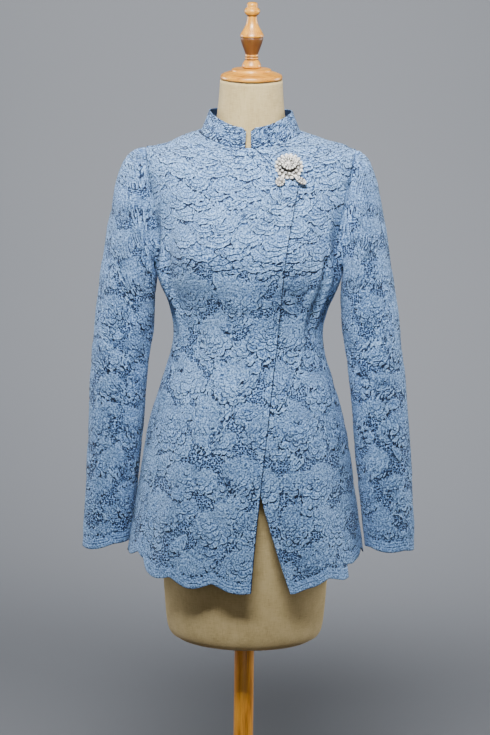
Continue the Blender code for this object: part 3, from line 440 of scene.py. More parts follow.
def placed(table, steps=24):
    """The table's edge as evenly spaced places on the figure."""
    rows = np.linspace(table[0].row, table[-1].row, steps + 1)
    across, height = column(table, "row", "across", rows), column(table, "row", "height", rows)
    return Edge(rows, *place_on_front(across, height))


def side_edge(row, armhole, side):
    """The side seam below the underarm and the armhole above it; side is 1 on the left."""
    station = column(SIDE_ROWS, "row", "station", row)
    lean = SIDE_LEAN * (1 - smooth(HEM_STATION, SIDE_LEAN_TOP, station))
    seam = column(SIDE_SEAM, "station", "angle", station) + side * lean
    cut = column(armhole, "station", "angle", station)
    hole = 90 - cut if armhole is ARMHOLE_FRONT else 90 + cut
    return np.where(station <= armhole[0].station, seam, hole), station


def front_edge(parts, neck_end):
    """A front's free edge as a function of the row: along the parts, then round the neckline."""
    edges = [placed(part) for part in parts]

    def edge(row):
        last = edges[-1]
        share = (row - last.rows[-1]) / (1 - last.rows[-1])
        angle = mix(last.angles[-1], neck_end, share)
        station = mix(last.stations[-1], NECK_STATION, np.clip(share * 4, 0.0, 1.0))
        for part in reversed(edges):
            on_part = row <= part.rows[-1]
            angle = np.where(on_part, curve_through(part.rows, part.angles, row), angle)
            station = np.where(on_part, curve_through(part.rows, part.stations, row), station)
        return angle, station

    return edge


def scallop(turns):
    """Broad round scallops with soft notches: 0 in a notch and 1 at the lowest of a scallop."""
    return np.abs(np.sin(np.pi * turns)) ** 1.2


def hem_height(hem, angle, vent_angle):
    """Height of the hem at an angle, rounded up at the side vent if the piece has one there."""
    lobe = scallop((angle - hem.start) / SCALLOP_PITCH) - 0.5
    level = column(hem.line, "angle", "height", angle) - SCALLOP_DEPTH * lobe
    if vent_angle is not None:
        curve = VENT_CURVE_LEFT if vent_angle > 0 else VENT_CURVE_RIGHT
        level = level + curve * (1 - smooth(0.0, VENT_WIDTH, np.abs(angle - vent_angle))) ** 2
    return level


def between(low_edge, high_edge):
    """A patch ruled from one edge to the other, row by row."""

    def patch(u, v):
        (low_angle, low_station), (high_angle, high_station) = low_edge(v), high_edge(v)
        return mix(low_angle, high_angle, u), mix(low_station, high_station, u)

    return patch


def vent_angle(side):
    return float(side_edge(0.0, ARMHOLE_FRONT, side)[0])


def vent_lift(angle, station, at):
    """A front's side edge stands a little out over the back below the top of the vent."""
    near = 1 - smooth(2.0, 12.0, np.abs(angle - at))
    return VENT_SPREAD * near * (1 - smooth(HEM_STATION, VENT_TOP, station))


def right_front_lift(angle, station):
    """The wrap rises by one layer where the left front lies under it."""
    over = (WALL + LAYER_GAP) * smooth(WRAP_LIFT_START, WRAP_LIFT_FULL, angle)
    return over + vent_lift(angle, station, -vent_angle(-1))


def left_front_lift(angle, station):
    return vent_lift(angle, station, vent_angle(1))


def no_lift(angle, station):
    return np.zeros(np.shape(angle))


def front_patches():
    top = 90 - SHOULDER_HALF_GAP

    def front_side(row, side):
        angle, station = side_edge(row, ARMHOLE_FRONT, side)
        above = station > ARMHOLE_FRONT[0].station
        return side * np.where(above, np.minimum(angle, top), angle), station

    right = between(lambda row: front_side(row, -1), front_edge((WRAP_EDGE, WRAP_SLANT), -top))
    left = between(front_edge((UNDER_EDGE,), top), lambda row: front_side(row, 1))
    return right, left


def back_patch(u, v):
    """The back, from the left side round to the right: its top is two shoulder seams and a neckline."""
    low_corner = 90 + SHOULDER_HALF_GAP
    seam_share = 0.27

    def side(row, which):
        angle, station = side_edge(row, ARMHOLE_BACK, which)
        above = station > ARMHOLE_BACK[0].station
        return np.where(above, np.maximum(angle, low_corner), angle), station

    in_from_tip = np.minimum(u, 1 - u) / seam_share
    on_seam = in_from_tip < 1
    seam_angle = np.where(u < 0.5, low_corner, 360 - low_corner)
    neck_share = (u - seam_share) / (1 - 2 * seam_share)
    top_angle = np.where(on_seam, seam_angle, mix(low_corner, 360 - low_corner, neck_share))
    top_station = mix(ARMHOLE_BACK[-1].station, NECK_STATION, np.minimum(in_from_tip, 1.0))
    (left_angle, side_station), (right_angle, _) = side(v, 1), side(v, -1)
    angle = mix(left_angle, 360 - right_angle, u)
    angle = angle + v * (top_angle - mix(low_corner, 360 - low_corner, u))
    return angle, side_station + v * (top_station - ARMHOLE_BACK[-1].station)


# --- the lace's motifs, as distances at the points of a cloth ------------------------------------
REACH = 6.0  # how far from a motif's rim its distance is kept
STROKE_WIDE, STROKE_LONG = 2.5, 8.0  # of the stitched strokes that fill a petal


class Lace:
    """Motifs laid one over another on points given by how far across and up the cloth they are."""

    def __init__(self, across, up):
        self.across, self.up = across, up
        self.rim = np.full(len(across), -REACH)  # distance in from the nearest rim, negative beyond it
        self.near = np.full(len(across), REACH)  # the same distance without its sign
        self.cover = np.full(len(across), REACH)  # distance beyond every motif
        self.height = np.zeros(len(across))
        self.stroke_u, self.stroke_v = across / STROKE_WIDE, up / STROKE_LONG
        self.tone = np.zeros(len(across))
        self.weight = np.zeros(len(across))  # how dark the rim's own shadow is

    def around(self, x, y, radius):
        """The points near a place, and how far right and up from it each is."""
        near = np.flatnonzero((np.abs(self.across - x) < radius) & (np.abs(self.up - y) < radius))
        return near, self.across[near] - x, self.up[near] - y

    def lay(self, points, beyond, height, strokes, tone, weight):
        """Lays one motif over what is there: beyond is the distance outside its rim."""
        inside = beyond < 0
        under = ~inside & (beyond < self.near[points])
        at, below = points[inside], points[under]
        self.rim[at] = np.minimum(-beyond[inside], REACH)
        self.near[at] = self.rim[at]
        self.rim[below] = -beyond[under]
        self.near[below] = beyond[under]
        self.height[at] = height[inside]
        self.stroke_u[at], self.stroke_v[at] = strokes[0][inside], strokes[1][inside]
        self.tone[at] = tone
        self.weight[at], self.weight[below] = weight[inside], weight[under]
        self.cover[points] = np.minimum(self.cover[points], beyond)


# A tier's weight sets how dark the painted shadow under its rim is.
Tier = namedtuple("Tier", "share petals weight")
BLOOM_TIERS = (
    Tier(1.0, 13, 1.0), Tier(0.8, 12, 0.66), Tier(0.61, 10, 0.55), Tier(0.44, 8, 0.5), Tier(0.27, 6, 0.4),
    Tier(0.12, 1, 0.6),
)
FAN_TIERS = (Tier(1.0, 11, 0.9), Tier(0.68, 9, 0.6), Tier(0.38, 7, 0.4))
YOKE_TIERS = (Tier(1.0, 12, 1.0), Tier(0.7, 9, 0.5), Tier(0.42, 7, 0.35))
FLOWER_TIERS = (Tier(1.0, 5, 0.85), Tier(0.3, 1, 0.8))


def lay_bloom(lace, x, y, size, facing, tiers, dice, flat=1.0, depth=0.15, level=0.45, curl=0.45):
    """A many-petalled bloom whose petals fan out towards facing, in degrees, and curl up at their rims."""
    ahead = np.array((math.cos(math.radians(facing)), math.sin(math.radians(facing))))
    tone = dice.uniform(-1, 1)
    for number, tier in enumerate(tiers):
        radius = size * tier.share
        back = size * flat * (1 - tier.share) * dice.uniform(0.25, 0.5)
        cx, cy = x - ahead[0] * back, y - ahead[1] * back
        points, right, rise = lace.around(cx, cy, radius * 1.1 + REACH)
        if not len(points):
            continue
        forward = (right * ahead[0] + rise * ahead[1]) / flat
        sideways = rise * ahead[0] - right * ahead[1]
        turn = np.arctan2(sideways, forward)
        reach = np.hypot(forward, sideways)
        start = dice.uniform(0, math.pi)
        petals = max(tier.petals + dice.integers(-1, 2), 4) if tier.petals > 5 else tier.petals
        if petals > 1:
            swing = petals * turn / 2 + start + 0.35 * np.sin(2 * turn + 3 * start)
            lobe = np.abs(np.cos(swing)) ** 0.6
            uneven = 1 + 0.06 * np.sin(3 * turn + 2 * start) + 0.045 * np.sin(5 * turn + 5 * start)
        else:
            lobe, uneven = np.ones(len(turn)), 1.0
        fan = 1 - 0.12 * (1 - np.cos(turn))
        lobe_depth = 0.28 if petals == 5 else depth
        rim = radius * uneven * fan * (1 - lobe_depth * (1 - lobe))
        beyond = (reach - rim) * mix(flat, 1.0, np.abs(np.sin(turn)))
        cup = np.clip(reach / np.maximum(rim, 1.0), 0, 1) ** 2
        height = level + 0.16 * number + curl * cup
        strokes = (turn * radius * 0.85 / STROKE_WIDE + 40 * number, reach / STROKE_LONG + 3 * tone)
        # The painted shadow under a rim is strongest on the motif's lower side and faint on its upper side,
        # as if lit from above.
        downwards = -rise / np.maximum(np.hypot(right, rise), 1.0)
        weight = tier.weight * np.clip(0.5 + 0.6 * downwards, 0.12, 1.0)
        lace.lay(points, beyond, height, strokes, tone + dice.uniform(-0.3, 0.3), weight)


def lay_leaf(lace, x, y, length, width, facing, dice, level=0.25):
    """A pointed, toothed leaf with slanting veins, from its middle."""
    ahead = np.array((math.cos(math.radians(facing)), math.sin(math.radians(facing))))
    points, right, rise = lace.around(x, y, length / 2 + REACH)
    if not len(points):
        return
    along = (right * ahead[0] + rise * ahead[1]) / (length / 2)
    aside = rise * ahead[0] - right * ahead[1]
    inside = np.clip(1 - along * along, 0, 1)
    half = width / 2 * inside**0.75 * (1 - 0.25 * along) * (1 + 0.12 * np.abs(np.sin(6 * along)))
    past_tip = np.hypot(aside, (np.abs(along) - 1) * length / 2)
    beyond = np.where(np.abs(along) < 1, np.abs(aside) - half, past_tip)
    strokes = ((along * length / 2 + np.abs(aside)) / STROKE_WIDE, aside / STROKE_LONG)
    height = level + 0.25 * np.clip(np.abs(aside) / (width / 2), 0, 1)
    # The painted shadow along a leaf's edge is stronger on its lower side, as if lit from above.
    below = np.sign(aside) * -ahead[0]
    weight = np.clip(0.45 + 0.4 * below, 0.15, 0.85)
    lace.lay(points, beyond, height, strokes, dice.uniform(-1, 1), weight)


def lay_sprig(lace, x, y, length, facing, dice):
    """Narrow petals fanning out from one point."""
    for turn in (-74, -44, 64, -14, 36, 10):
        way = math.radians(facing + turn + dice.uniform(-6, 6))
        out = length * dice.uniform(0.5, 0.58)
        lay_leaf(
            lace, x + out * math.cos(way), y + out * math.sin(way), length, length * 0.3,
            math.degrees(way), dice, 0.35,
        )


def spots(low_x, high_x, low_y, high_y, pitch_x, pitch_y, jitter, dice):
    """Places on staggered rows from the foot up, each a little off its own."""
    row = 0
    y = low_y - pitch_y / 2
    while y < high_y + pitch_y / 2:
        x = low_x - pitch_x * (0.5 if row % 2 else 1.0)
        while x < high_x + pitch_x / 2:
            aside = dice.uniform(-jitter, jitter)
            yield x + aside, y + dice.uniform(-jitter, jitter) * min(1, pitch_y / pitch_x)
            x += pitch_x
        y += pitch_y
        row += 1


def lay_lace(across, up, seed, scale=1.0, yoke=None, open_work=1.0):
    """The whole lace of one cut piece; above the yoke its blooms are rows of wide fans."""
    lace = Lace(across, up)
    dice = np.random.default_rng(seed)
    area = (across.min(), across.max(), up.min(), up.max())
    for x, y in spots(*area, 50 * scale * open_work, 40 * scale * open_work, 12 * scale, dice):
        length, width = dice.uniform(34, 50) * scale, dice.uniform(15, 20) * scale
        lay_leaf(lace, x, y, length, width, dice.uniform(0, 360), dice)
    for x, y in spots(*area, 72 * scale * open_work, 58 * scale * open_work, 16 * scale, dice):
        lay_sprig(lace, x, y, dice.uniform(19, 25) * scale, dice.uniform(0, 360), dice)
    for x, y in spots(*area, 58 * scale, 50 * scale, 16 * scale, dice):
        size = dice.uniform(12, 17) * scale
        lay_bloom(lace, x, y, size, dice.uniform(0, 360), FLOWER_TIERS, dice, level=0.3)
    for x, y in spots(*area, 76 * scale, 52 * scale, 15 * scale, dice):
        facing = dice.uniform(-130, -50)
        lay_bloom(lace, x, y, dice.uniform(26, 33) * scale, facing, FAN_TIERS, dice, flat=0.72, depth=0.24)
    for x, y in spots(*area, 84 * scale, 74 * scale, 11 * scale, dice):
        facing = dice.choice((-90, -90, -90, -60, -120, 180, 0)) + dice.uniform(-18, 18)
        size = dice.uniform(33, 44) * scale
        lay_bloom(lace, x, y, size, facing, BLOOM_TIERS, dice, flat=dice.uniform(0.8, 1.0), depth=0.2)
    for x, y in spots(*area, 112 * scale, 96 * scale, 24 * scale, dice):
        size = dice.uniform(10, 14) * scale
        lay_bloom(lace, x, y, size, dice.uniform(0, 360), FLOWER_TIERS, dice, level=0.8)
    if yoke is not None:
        rows = (area[0], area[1], yoke, area[3])
        for x, y in spots(*rows, 56 * scale, 18 * scale, 12 * scale, dice):
            facing = -90 + dice.uniform(-14, 14)
            size = dice.uniform(27, 41) * scale
            flat = dice.uniform(0.46, 0.66)
            lay_bloom(lace, x, y, size, facing, YOKE_TIERS, dice, flat, depth=0.14, level=0.5, curl=1.1)
    return lace


def ripple(across, up, seed, size):
    """Slow unevenness of hanging cloth, between -1 and 1, as a few crossing waves."""
    dice = np.random.default_rng(seed)
    total = np.zeros(len(across))
    for _ in range(7):
        length = size * dice.uniform(0.6, 1.8)
        turn = dice.uniform(0, math.pi)
        along = across * math.cos(turn) + up * math.sin(turn)
        total += np.sin(along * 2 * math.pi / length + dice.uniform(0, 6))
    return total / 4


# --- cloth pieces -------------------------------------------------------------------------------
CLOTH = bpy.data.collections.new("cloth")
TRIM = bpy.data.collections.new("brooch_and_turnings")
bpy.context.scene.collection.children.link(CLOTH)
bpy.context.scene.collection.children.link(TRIM)

SCENE_WALL = 1.5  # the shell's own thickness
YOKE_STATION = 1196.0  # above it the lace's blooms lie as rows of fans
SLEEVE_YOKE = 60.0  # how far down from the top of a sleeve those rows go on
SLANTED_ROWS = 9  # measured rounds of a sleeve that slant up over its head
SCENE_SEAM_GAP = 0.05  # clear width between two sewn pieces
SCENE_SLEEVE_OPEN, SCENE_SLEEVE_IN = 0.1, 0.1  # how close the sewn sleeve comes to its armhole
COLLAR_SEWN_RISE, COLLAR_SEWN_DROP, COLLAR_SEWN_OUT = 0.8, 2.2, 0.9  # how its foot lies on the neckline
BORDER = 23.0  # depth of the corded border along a hem or cuff
FAR = 100.0  # stands for a point that no hem or free edge comes near
BODY_OPEN_WORK, SLEEVE_OPEN_WORK = 1.12, 1.16  # how much wider apart its leaves and sprigs lie
SLEEVE_MOTIFS, COLLAR_MOTIFS = 0.84, 0.4  # size of the motifs against the bodice's
COLLAR_LENGTH, COLLAR_DEPTH = 430.0, 36.0  # of the band laid flat
STATION_STEP, ANGLE_STEP = 4.0, 2.0  # of the table that cloth is laid flat by
# The arm's own line over its slanting head: height, distance out and distance back.
ARM_TOP_Z, ARM_TOP_X, ARM_TOP_Y = (1262.0, 1300.0, 1342.0), (177.0, 173.0, 165.0), (5.0, 5.0, 6.0)
HEAD_FROM, HEAD_TO = 1190.0, 1260.0  # heights between which a sleeve's head begins
# Columns and rows of each piece of cloth.
RIGHT_FRONT_GRID, LEFT_FRONT_GRID, BACK_GRID = (116, 300), (76, 300), (146, 290)
SLEEVE_GRID, COLLAR_GRID, TORSO_GRID = (108, 236), (168, 20), (120, 190)


def grid_mesh(columns, rows):
    """A flat grid, with u and v of each point in its x and y."""
    bm = bmesh.new()
    bmesh.ops.create_grid(bm, x_segments=columns, y_segments=rows, size=0.5)
    bmesh.ops.translate(bm, verts=bm.verts, vec=(0.5, 0.5, 0.0))
    return bm


def cut_grid(columns, rows):
    """A flat grid, its points' u and v, and the order that puts them in rows."""
    bm = grid_mesh(columns, rows)
    flat = np.array([vertex.co[:2] for vertex in bm.verts])
    u, v = np.clip(flat[:, 0], 0, 1), np.clip(flat[:, 1], 0, 1)
    return bm, u, v, np.lexsort((np.round(u * columns), np.round(v * rows)))


def normals_on(points, columns, rows, order, closed=False):
    """Outward normals of a grid of points; order puts them in rows."""
    shaped = points[order].reshape(rows + 1, columns + 1, 3)
    if closed:
        wrapped = np.concatenate((shaped[:, -2:-1], shaped, shaped[:, 1:2]), axis=1)
        across = wrapped[:, 2:] - wrapped[:, :-2]
    else:
        across = np.gradient(shaped, axis=1)
    along = np.gradient(shaped, axis=0)
    normals = np.empty_like(points)
    normals[order] = unit(np.cross(across, along)).reshape(-1, 3)
    return normals


def keep_on_points(mesh, name, values):
    layer = mesh.attributes.new(name, "FLOAT", "POINT")
    layer.data.foreach_set("value", np.ascontiguousarray(values, dtype=np.float32))


def make_cloth(name, bm, points, lace, hem, finishes, flip=False, weld=False, dark_rim=1, free=None):
    """Turns a placed grid with its lace's distances into one cloth piece with a thin wall."""
    free = np.full(len(points), FAR) if free is None else free
    for vertex, point in zip(bm.verts, points * MM):
        vertex.co = point
    mesh = bpy.data.meshes.new(name)
    bm.to_mesh(mesh)
    bm.free()
    for key, values in (
        ("rim", lace.rim), ("near", lace.near), ("open_net", lace.cover), ("weight", lace.weight),
        ("stroke_u", lace.stroke_u), ("stroke_v", lace.stroke_v), ("tone", lace.tone), ("edge", hem),
        ("lie_x", lace.across), ("lie_y", lace.up), ("free", free),
    ):
        keep_on_points(mesh, key, values)
    if weld or flip:
        bm = bmesh.new()
        bm.from_mesh(mesh)
        if weld:
            bmesh.ops.remove_doubles(bm, verts=bm.verts, dist=0.02 * MM)
        if flip:
            bmesh.ops.reverse_faces(bm, faces=bm.faces)
        bm.to_mesh(mesh)
        bm.free()
    mesh.shade_smooth()
    for finish in finishes:
        mesh.materials.append(finish)
    piece = bpy.data.objects.new(name, mesh)
    CLOTH.objects.link(piece)
    wall = piece.modifiers.new("cloth wall", "SOLIDIFY")
    wall.thickness = SCENE_WALL * MM
    wall.offset = -1.0
    wall.material_offset = 1
    # On the cut edges dark_rim puts the dark lining finish: the lining's own edge, and also a painted
    # shadow line along the bodice pieces' edges.
    wall.material_offset_rim = dark_rim
    wall.use_quality_normals = False
    return piece


def flat_place(angle, station, middle):
    """How far across, from the middle angle, and how far up the cloth each point lies."""
    stations = np.arange(590.0, 1430.0, STATION_STEP)
    angles = np.arange(-100.0, 320.0, ANGLE_STEP)
    a, s = np.meshgrid(angles, stations)
    shape = ring_point(ring_at(BODY_RINGS, s), a) + outwards(a) * bust_swell(a, s, BUST_HEIGHT)[..., None]
    wide = np.linalg.norm(np.diff(shape, axis=1), axis=2)
    tall = np.linalg.norm(np.diff(shape, axis=0), axis=2)
    across = np.concatenate((np.zeros((len(stations), 1)), np.cumsum(wide, axis=1)), axis=1)
    column_of_middle = int(round((middle - angles[0]) / ANGLE_STEP))
    across -= across[:, column_of_middle : column_of_middle + 1]
    up = np.concatenate((np.zeros((1, len(angles))), np.cumsum(tall, axis=0)))
    i = np.clip((station - stations[0]) / STATION_STEP, 0, len(stations) - 1.001)
    j = np.clip((angle - angles[0]) / ANGLE_STEP, 0, len(angles) - 1.001)
    i0, j0 = i.astype(int), j.astype(int)
    di, dj = i - i0, j - j0

    def read(table):
        low = mix(table[i0, j0], table[i0, j0 + 1], dj)
        return mix(low, mix(table[i0 + 1, j0], table[i0 + 1, j0 + 1], dj), di)

    return read(across), read(up)


def body_panel(name, patch, size, hem, vents, lift, middle, seed, finishes, overlaps=False):
    """A finely cut piece of the bodice: patch(u, v) gives the angle and station of its points."""
    columns, rows = size
    bm, u, v, order = cut_grid(columns, rows)
    first_angle = patch(u, v)[0]
    low_side, high_side = (hem_height(hem, first_angle, vent) for vent in vents)
    level = np.where(u < 0.5, low_side, high_side)
    angle, station = patch(u, v + (level - HEM_STATION) * (1 - smooth(0.0, HEM_FADE, v)) / ROW_HEIGHT)
    points = ease_shoulders(body_point(angle, station, lift(angle, station)))
    along = xyz(np.cos(np.radians(angle)), np.sin(np.radians(angle)), 0.0)
    points += along * ((1 - 2 * u) * SCENE_SEAM_GAP / 2)[:, None]
    across, up = flat_place(angle, station, middle)
    yoke = flat_place(np.array([middle]), np.array([YOKE_STATION]), middle)[1][0]
    lace = lay_lace(across, up, seed, yoke=yoke, open_work=BODY_OPEN_WORK)
    edge = station - level
    edge = np.where(v < 0.12, edge, FAR)
    normals = normals_on(points, columns, rows, order)
    relief = lace_relief(lace, edge) * smooth(0.0, 2.0, from_sides(across, columns, rows, order))
    relief += 0.5 * ripple(across, up, seed + 7, 70.0) * smooth(0, 30, station - level)
    points += normals * relief[:, None]
    # free: each point's distance from the wrap's free edge, along which the lace finish paints a shadow
    # line.
    free = np.where(u > 0.5, from_sides(across, columns, rows, order), FAR) if overlaps else None
    return make_cloth(name, bm, points, lace, edge, finishes, free=free)


def from_sides(across, columns, rows, order):
    """How far each point lies from the nearer of its row's two ends."""
    shaped = across[order].reshape(rows + 1, columns + 1)
    inwards = np.minimum(np.abs(shaped - shaped[:, :1]), np.abs(shaped - shaped[:, -1:]))
    distance = np.empty_like(across)
    distance[order] = inwards.ravel()
    return distance


def lace_relief(lace, edge):
    """How far the lace stands up from the cloth's own face: less at the corded border."""
    border = 1 - smooth(BORDER - 3, BORDER + 1, edge)
    step = lace.height * smooth(-0.5, 1.2, np.where(lace.cover < 0, lace.near, -lace.cover))
    return mix(np.where(lace.cover < 0, step, 0.0), 0.35, border) - 0.3


# --- sleeves and collar -------------------------------------------------------------------------
def armhole_point(turn, side):
    """Points of the armhole's rim, at turns in degrees from the shoulder tip through the front."""
    front = turn <= 180
    down = np.where(front, turn, 360 - turn) / 180
    tip, foot = ARMHOLE_FRONT[-1].station, ARMHOLE_FRONT[0].station
    station = foot + (tip - foot) * (1 + np.cos(np.pi * down)) / 2
    front_cut = column(ARMHOLE_FRONT, "station", "angle", station)
    back_cut = column(ARMHOLE_BACK, "station", "angle", station)
    angle = np.where(front, 90 - front_cut, 90 + back_cut)
    rim = body_point(side * angle, station)
    middle = xyz(rim[..., 0], SLEEVE_MIDDLE_Y, (tip + foot) / 2)
    return rim + outwards(side * 90.0) * SCENE_SLEEVE_OPEN + unit(middle - rim) * SCENE_SLEEVE_IN


def sleeve_point(turn, along, side):
    """Points of a sleeve: the turn round it from its top through its front, and the ring along it."""
    fields = SleeveRing._fields[1:]
    row = SleeveRing(along, *(column(SLEEVE_RINGS, "ring", f, along) for f in fields))
    outer = xyz(row.outer_x + side * row.outer_lean, 0.0, row.outer_z)
    inner = xyz(row.inner_x + side * row.inner_lean, 0.0, row.inner_z)
    back = row.left_back if side > 0 else row.right_back
    facing, ahead = np.cos(np.radians(turn)), np.sin(np.radians(turn))
    middle = (outer + inner) / 2 + xyz(0.0, SLEEVE_MIDDLE_Y + back, 0.0)
    oval = middle + (outer - inner) / 2 * facing[..., None] + xyz(0.0, -row.depth * ahead, 0.0)
    fold = fold_height(SLEEVE_FOLDS, turn, along)
    fold += fold_height(SLEEVE_CREASES[side], turn, along)
    oval += unit(oval - middle) * fold[..., None]
    oval[..., 0] *= side
    share = along / SLEEVE_RINGS[-1].ring
    cuff = smooth(0.93, 1.0, share)
    start, tilt = CUFF[side]
    lobe = scallop(CUFF_SCALLOPS * (turn - start) / 360) - 0.5
    oval[..., 2] += side * SLEEVE_HANG * smooth(0.3, 1.0, share)
    oval[..., 2] -= cuff * (CUFF_SCALLOP_DEPTH * lobe + tilt * facing)
    rim = armhole_point(turn, side)
    shift = xyz(side * (row.outer_x - SLEEVE_RINGS[0].outer_x), 0.0, 0.0)
    opened = mix(rim + shift * 0.4, oval, smooth(0, 1, row.oval)[..., None])
    set_in = np.where((along > 0)[..., None], opened, rim)
    return np.where((row.oval >= 1)[..., None], oval, set_in)


def lie_of_sleeve(points, u, side, shaped):
    """How far round from the outer side, and how far up the arm, each point of a sleeve lies."""
    round_rows = shaped[len(shaped) * 4 // 17 :: 6][::-1]
    middles = round_rows.mean(axis=1)
    girths = np.linalg.norm(np.diff(round_rows, axis=1), axis=2).sum(axis=1)
    z = np.append(middles[:, 2], ARM_TOP_Z)
    middle_x = np.append(middles[:, 0] * side, ARM_TOP_X)
    middle_y = np.append(middles[:, 1], ARM_TOP_Y)
    girth = np.append(girths, girths[-1:].repeat(len(ARM_TOP_Z)))
    radius = np.minimum(girth, girths[-SLANTED_ROWS]) / (2 * math.pi)
    climb = np.concatenate(((0.0,), np.cumsum(np.hypot(np.diff(z), np.diff(middle_x)))))
    order = np.argsort(z)
    outward = points[:, 0] * side - np.interp(points[:, 2], z[order], middle_x[order])
    forward = np.interp(points[:, 2], z[order], middle_y[order]) - points[:, 1]
    turn = np.arctan2(forward, outward)
    turn += 2 * math.pi * np.round((u - 0.5) - turn / (2 * math.pi))
    wide = np.interp(points[:, 2], z[order], radius[order])
    rounding = smooth(HEAD_FROM, HEAD_TO, points[:, 2])
    short = np.maximum(wide - np.hypot(outward, forward), 0.0) * rounding
    height = points[:, 2]
    up = np.interp(height, z[order], climb[order]) + (height - height.clip(z.min(), z.max()))
    return turn * (wide - short), up + 0.8 * short


def make_sleeve(name, side, seed, finishes):
    """A sleeve set in its armhole; its seam runs under the arm."""
    columns, rows = SLEEVE_GRID
    last = SLEEVE_RINGS[-1].ring
    bm, u, v, order = cut_grid(columns, rows)
    turn = (360 * u + 180) % 360
    turn = np.where(u > 1 - 1e-6, 180.0, turn)
    points = ease_shoulders(sleeve_point(turn, v * last, side))
    shaped = points[order].reshape(rows + 1, columns + 1, 3)
    lengths = np.linalg.norm(np.diff(shaped, axis=0), axis=2)
    down_rows = np.concatenate((np.zeros((1, columns + 1)), np.cumsum(lengths, axis=0)))
    from_cuff = np.empty(len(u))
    from_cuff[order] = (down_rows[-1] - down_rows).ravel()
    across, up = lie_of_sleeve(points, u, side, shaped)
    yoke = up.max() - SLEEVE_YOKE
    lace = lay_lace(across, up, seed, SLEEVE_MOTIFS, yoke, SLEEVE_OPEN_WORK)
    edge = np.where(v > 0.85, from_cuff, FAR)
    normals = normals_on(points, columns, rows, order, closed=True) * side
    fade = smooth(0.0, 2.0, v * lengths.sum(axis=0).mean())
    relief = lace_relief(lace, edge) + 0.5 * ripple(across, up, seed + 7, 60.0)
    points += normals * (relief * fade)[:, None]
    return make_cloth(name, bm, points, lace, edge, finishes, flip=side < 0, weld=True, dark_rim=0)


def make_collar(seed, finishes):
    """The stand collar, its foot sewn down on the neckline."""
    columns, rows = COLLAR_GRID
    bm, u, v, order = cut_grid(columns, rows)
    angle = mix(COLLAR_GAP_HALF, 360 - COLLAR_GAP_HALF, u)
    ring = Ring("collar", 0, *(column(COLLAR_RINGS, "share", f, v) for f in CollarRing._fields[1:]))
    points = ring_point(ring, angle)
    from_end = np.minimum(angle, 360 - angle) - COLLAR_GAP_HALF
    corner = (1 - smooth(0.0, COLLAR_CORNER_WIDTH, from_end)) ** 2
    signed = np.where(angle < 180, angle, angle - 360)
    over_wrap = smooth(WRAP_LIFT_START - 4, WRAP_LIFT_FULL, signed) * (1 - smooth(8.0, 16.0, signed))
    points[:, 2] += COLLAR_SEWN_RISE * over_wrap * (1 - v) - COLLAR_CORNER_DROP * corner * v * v
    foot = np.clip(1 - 3 * v, 0, 1) ** 2
    points[:, 2] -= COLLAR_SEWN_DROP * foot
    across, up = (u - 0.5) * COLLAR_LENGTH, v * COLLAR_DEPTH
    lace = lay_lace(across, up, seed, scale=COLLAR_MOTIFS)
    normals = normals_on(points, columns, rows, order)
    edge = np.full(len(u), FAR)
    relief = lace_relief(lace, edge) * 0.5 * smooth(0.0, 0.12, np.minimum(v, 1 - v))
    points += normals * (relief + COLLAR_SEWN_OUT * foot)[:, None]
    return make_cloth("collar_lace_piece", bm, points, lace, edge, finishes, dark_rim=0)


# --- finishes -----------------------------------------------------------------------------------
class Wire:
    """An output of a finish's nodes. Sums written on it add the nodes that work them out."""

    def __init__(self, finish, socket):
        self.finish, self.socket = finish, socket

    def sum(self, operation, first, second):
        return self.finish.node("Math", {"operation": operation}, {0: first, 1: second})

    def __add__(self, other):
        return self.sum("ADD", self, other)

    def __sub__(self, other):
        return self.sum("SUBTRACT", self, other)

    def __rsub__(self, other):
        return self.sum("SUBTRACT", other, self)

    def __mul__(self, other):
        return self.sum("MULTIPLY", self, other)

    def __truediv__(self, other):
        return self.sum("DIVIDE", self, other)

    __radd__ = __add__
    __rmul__ = __mul__


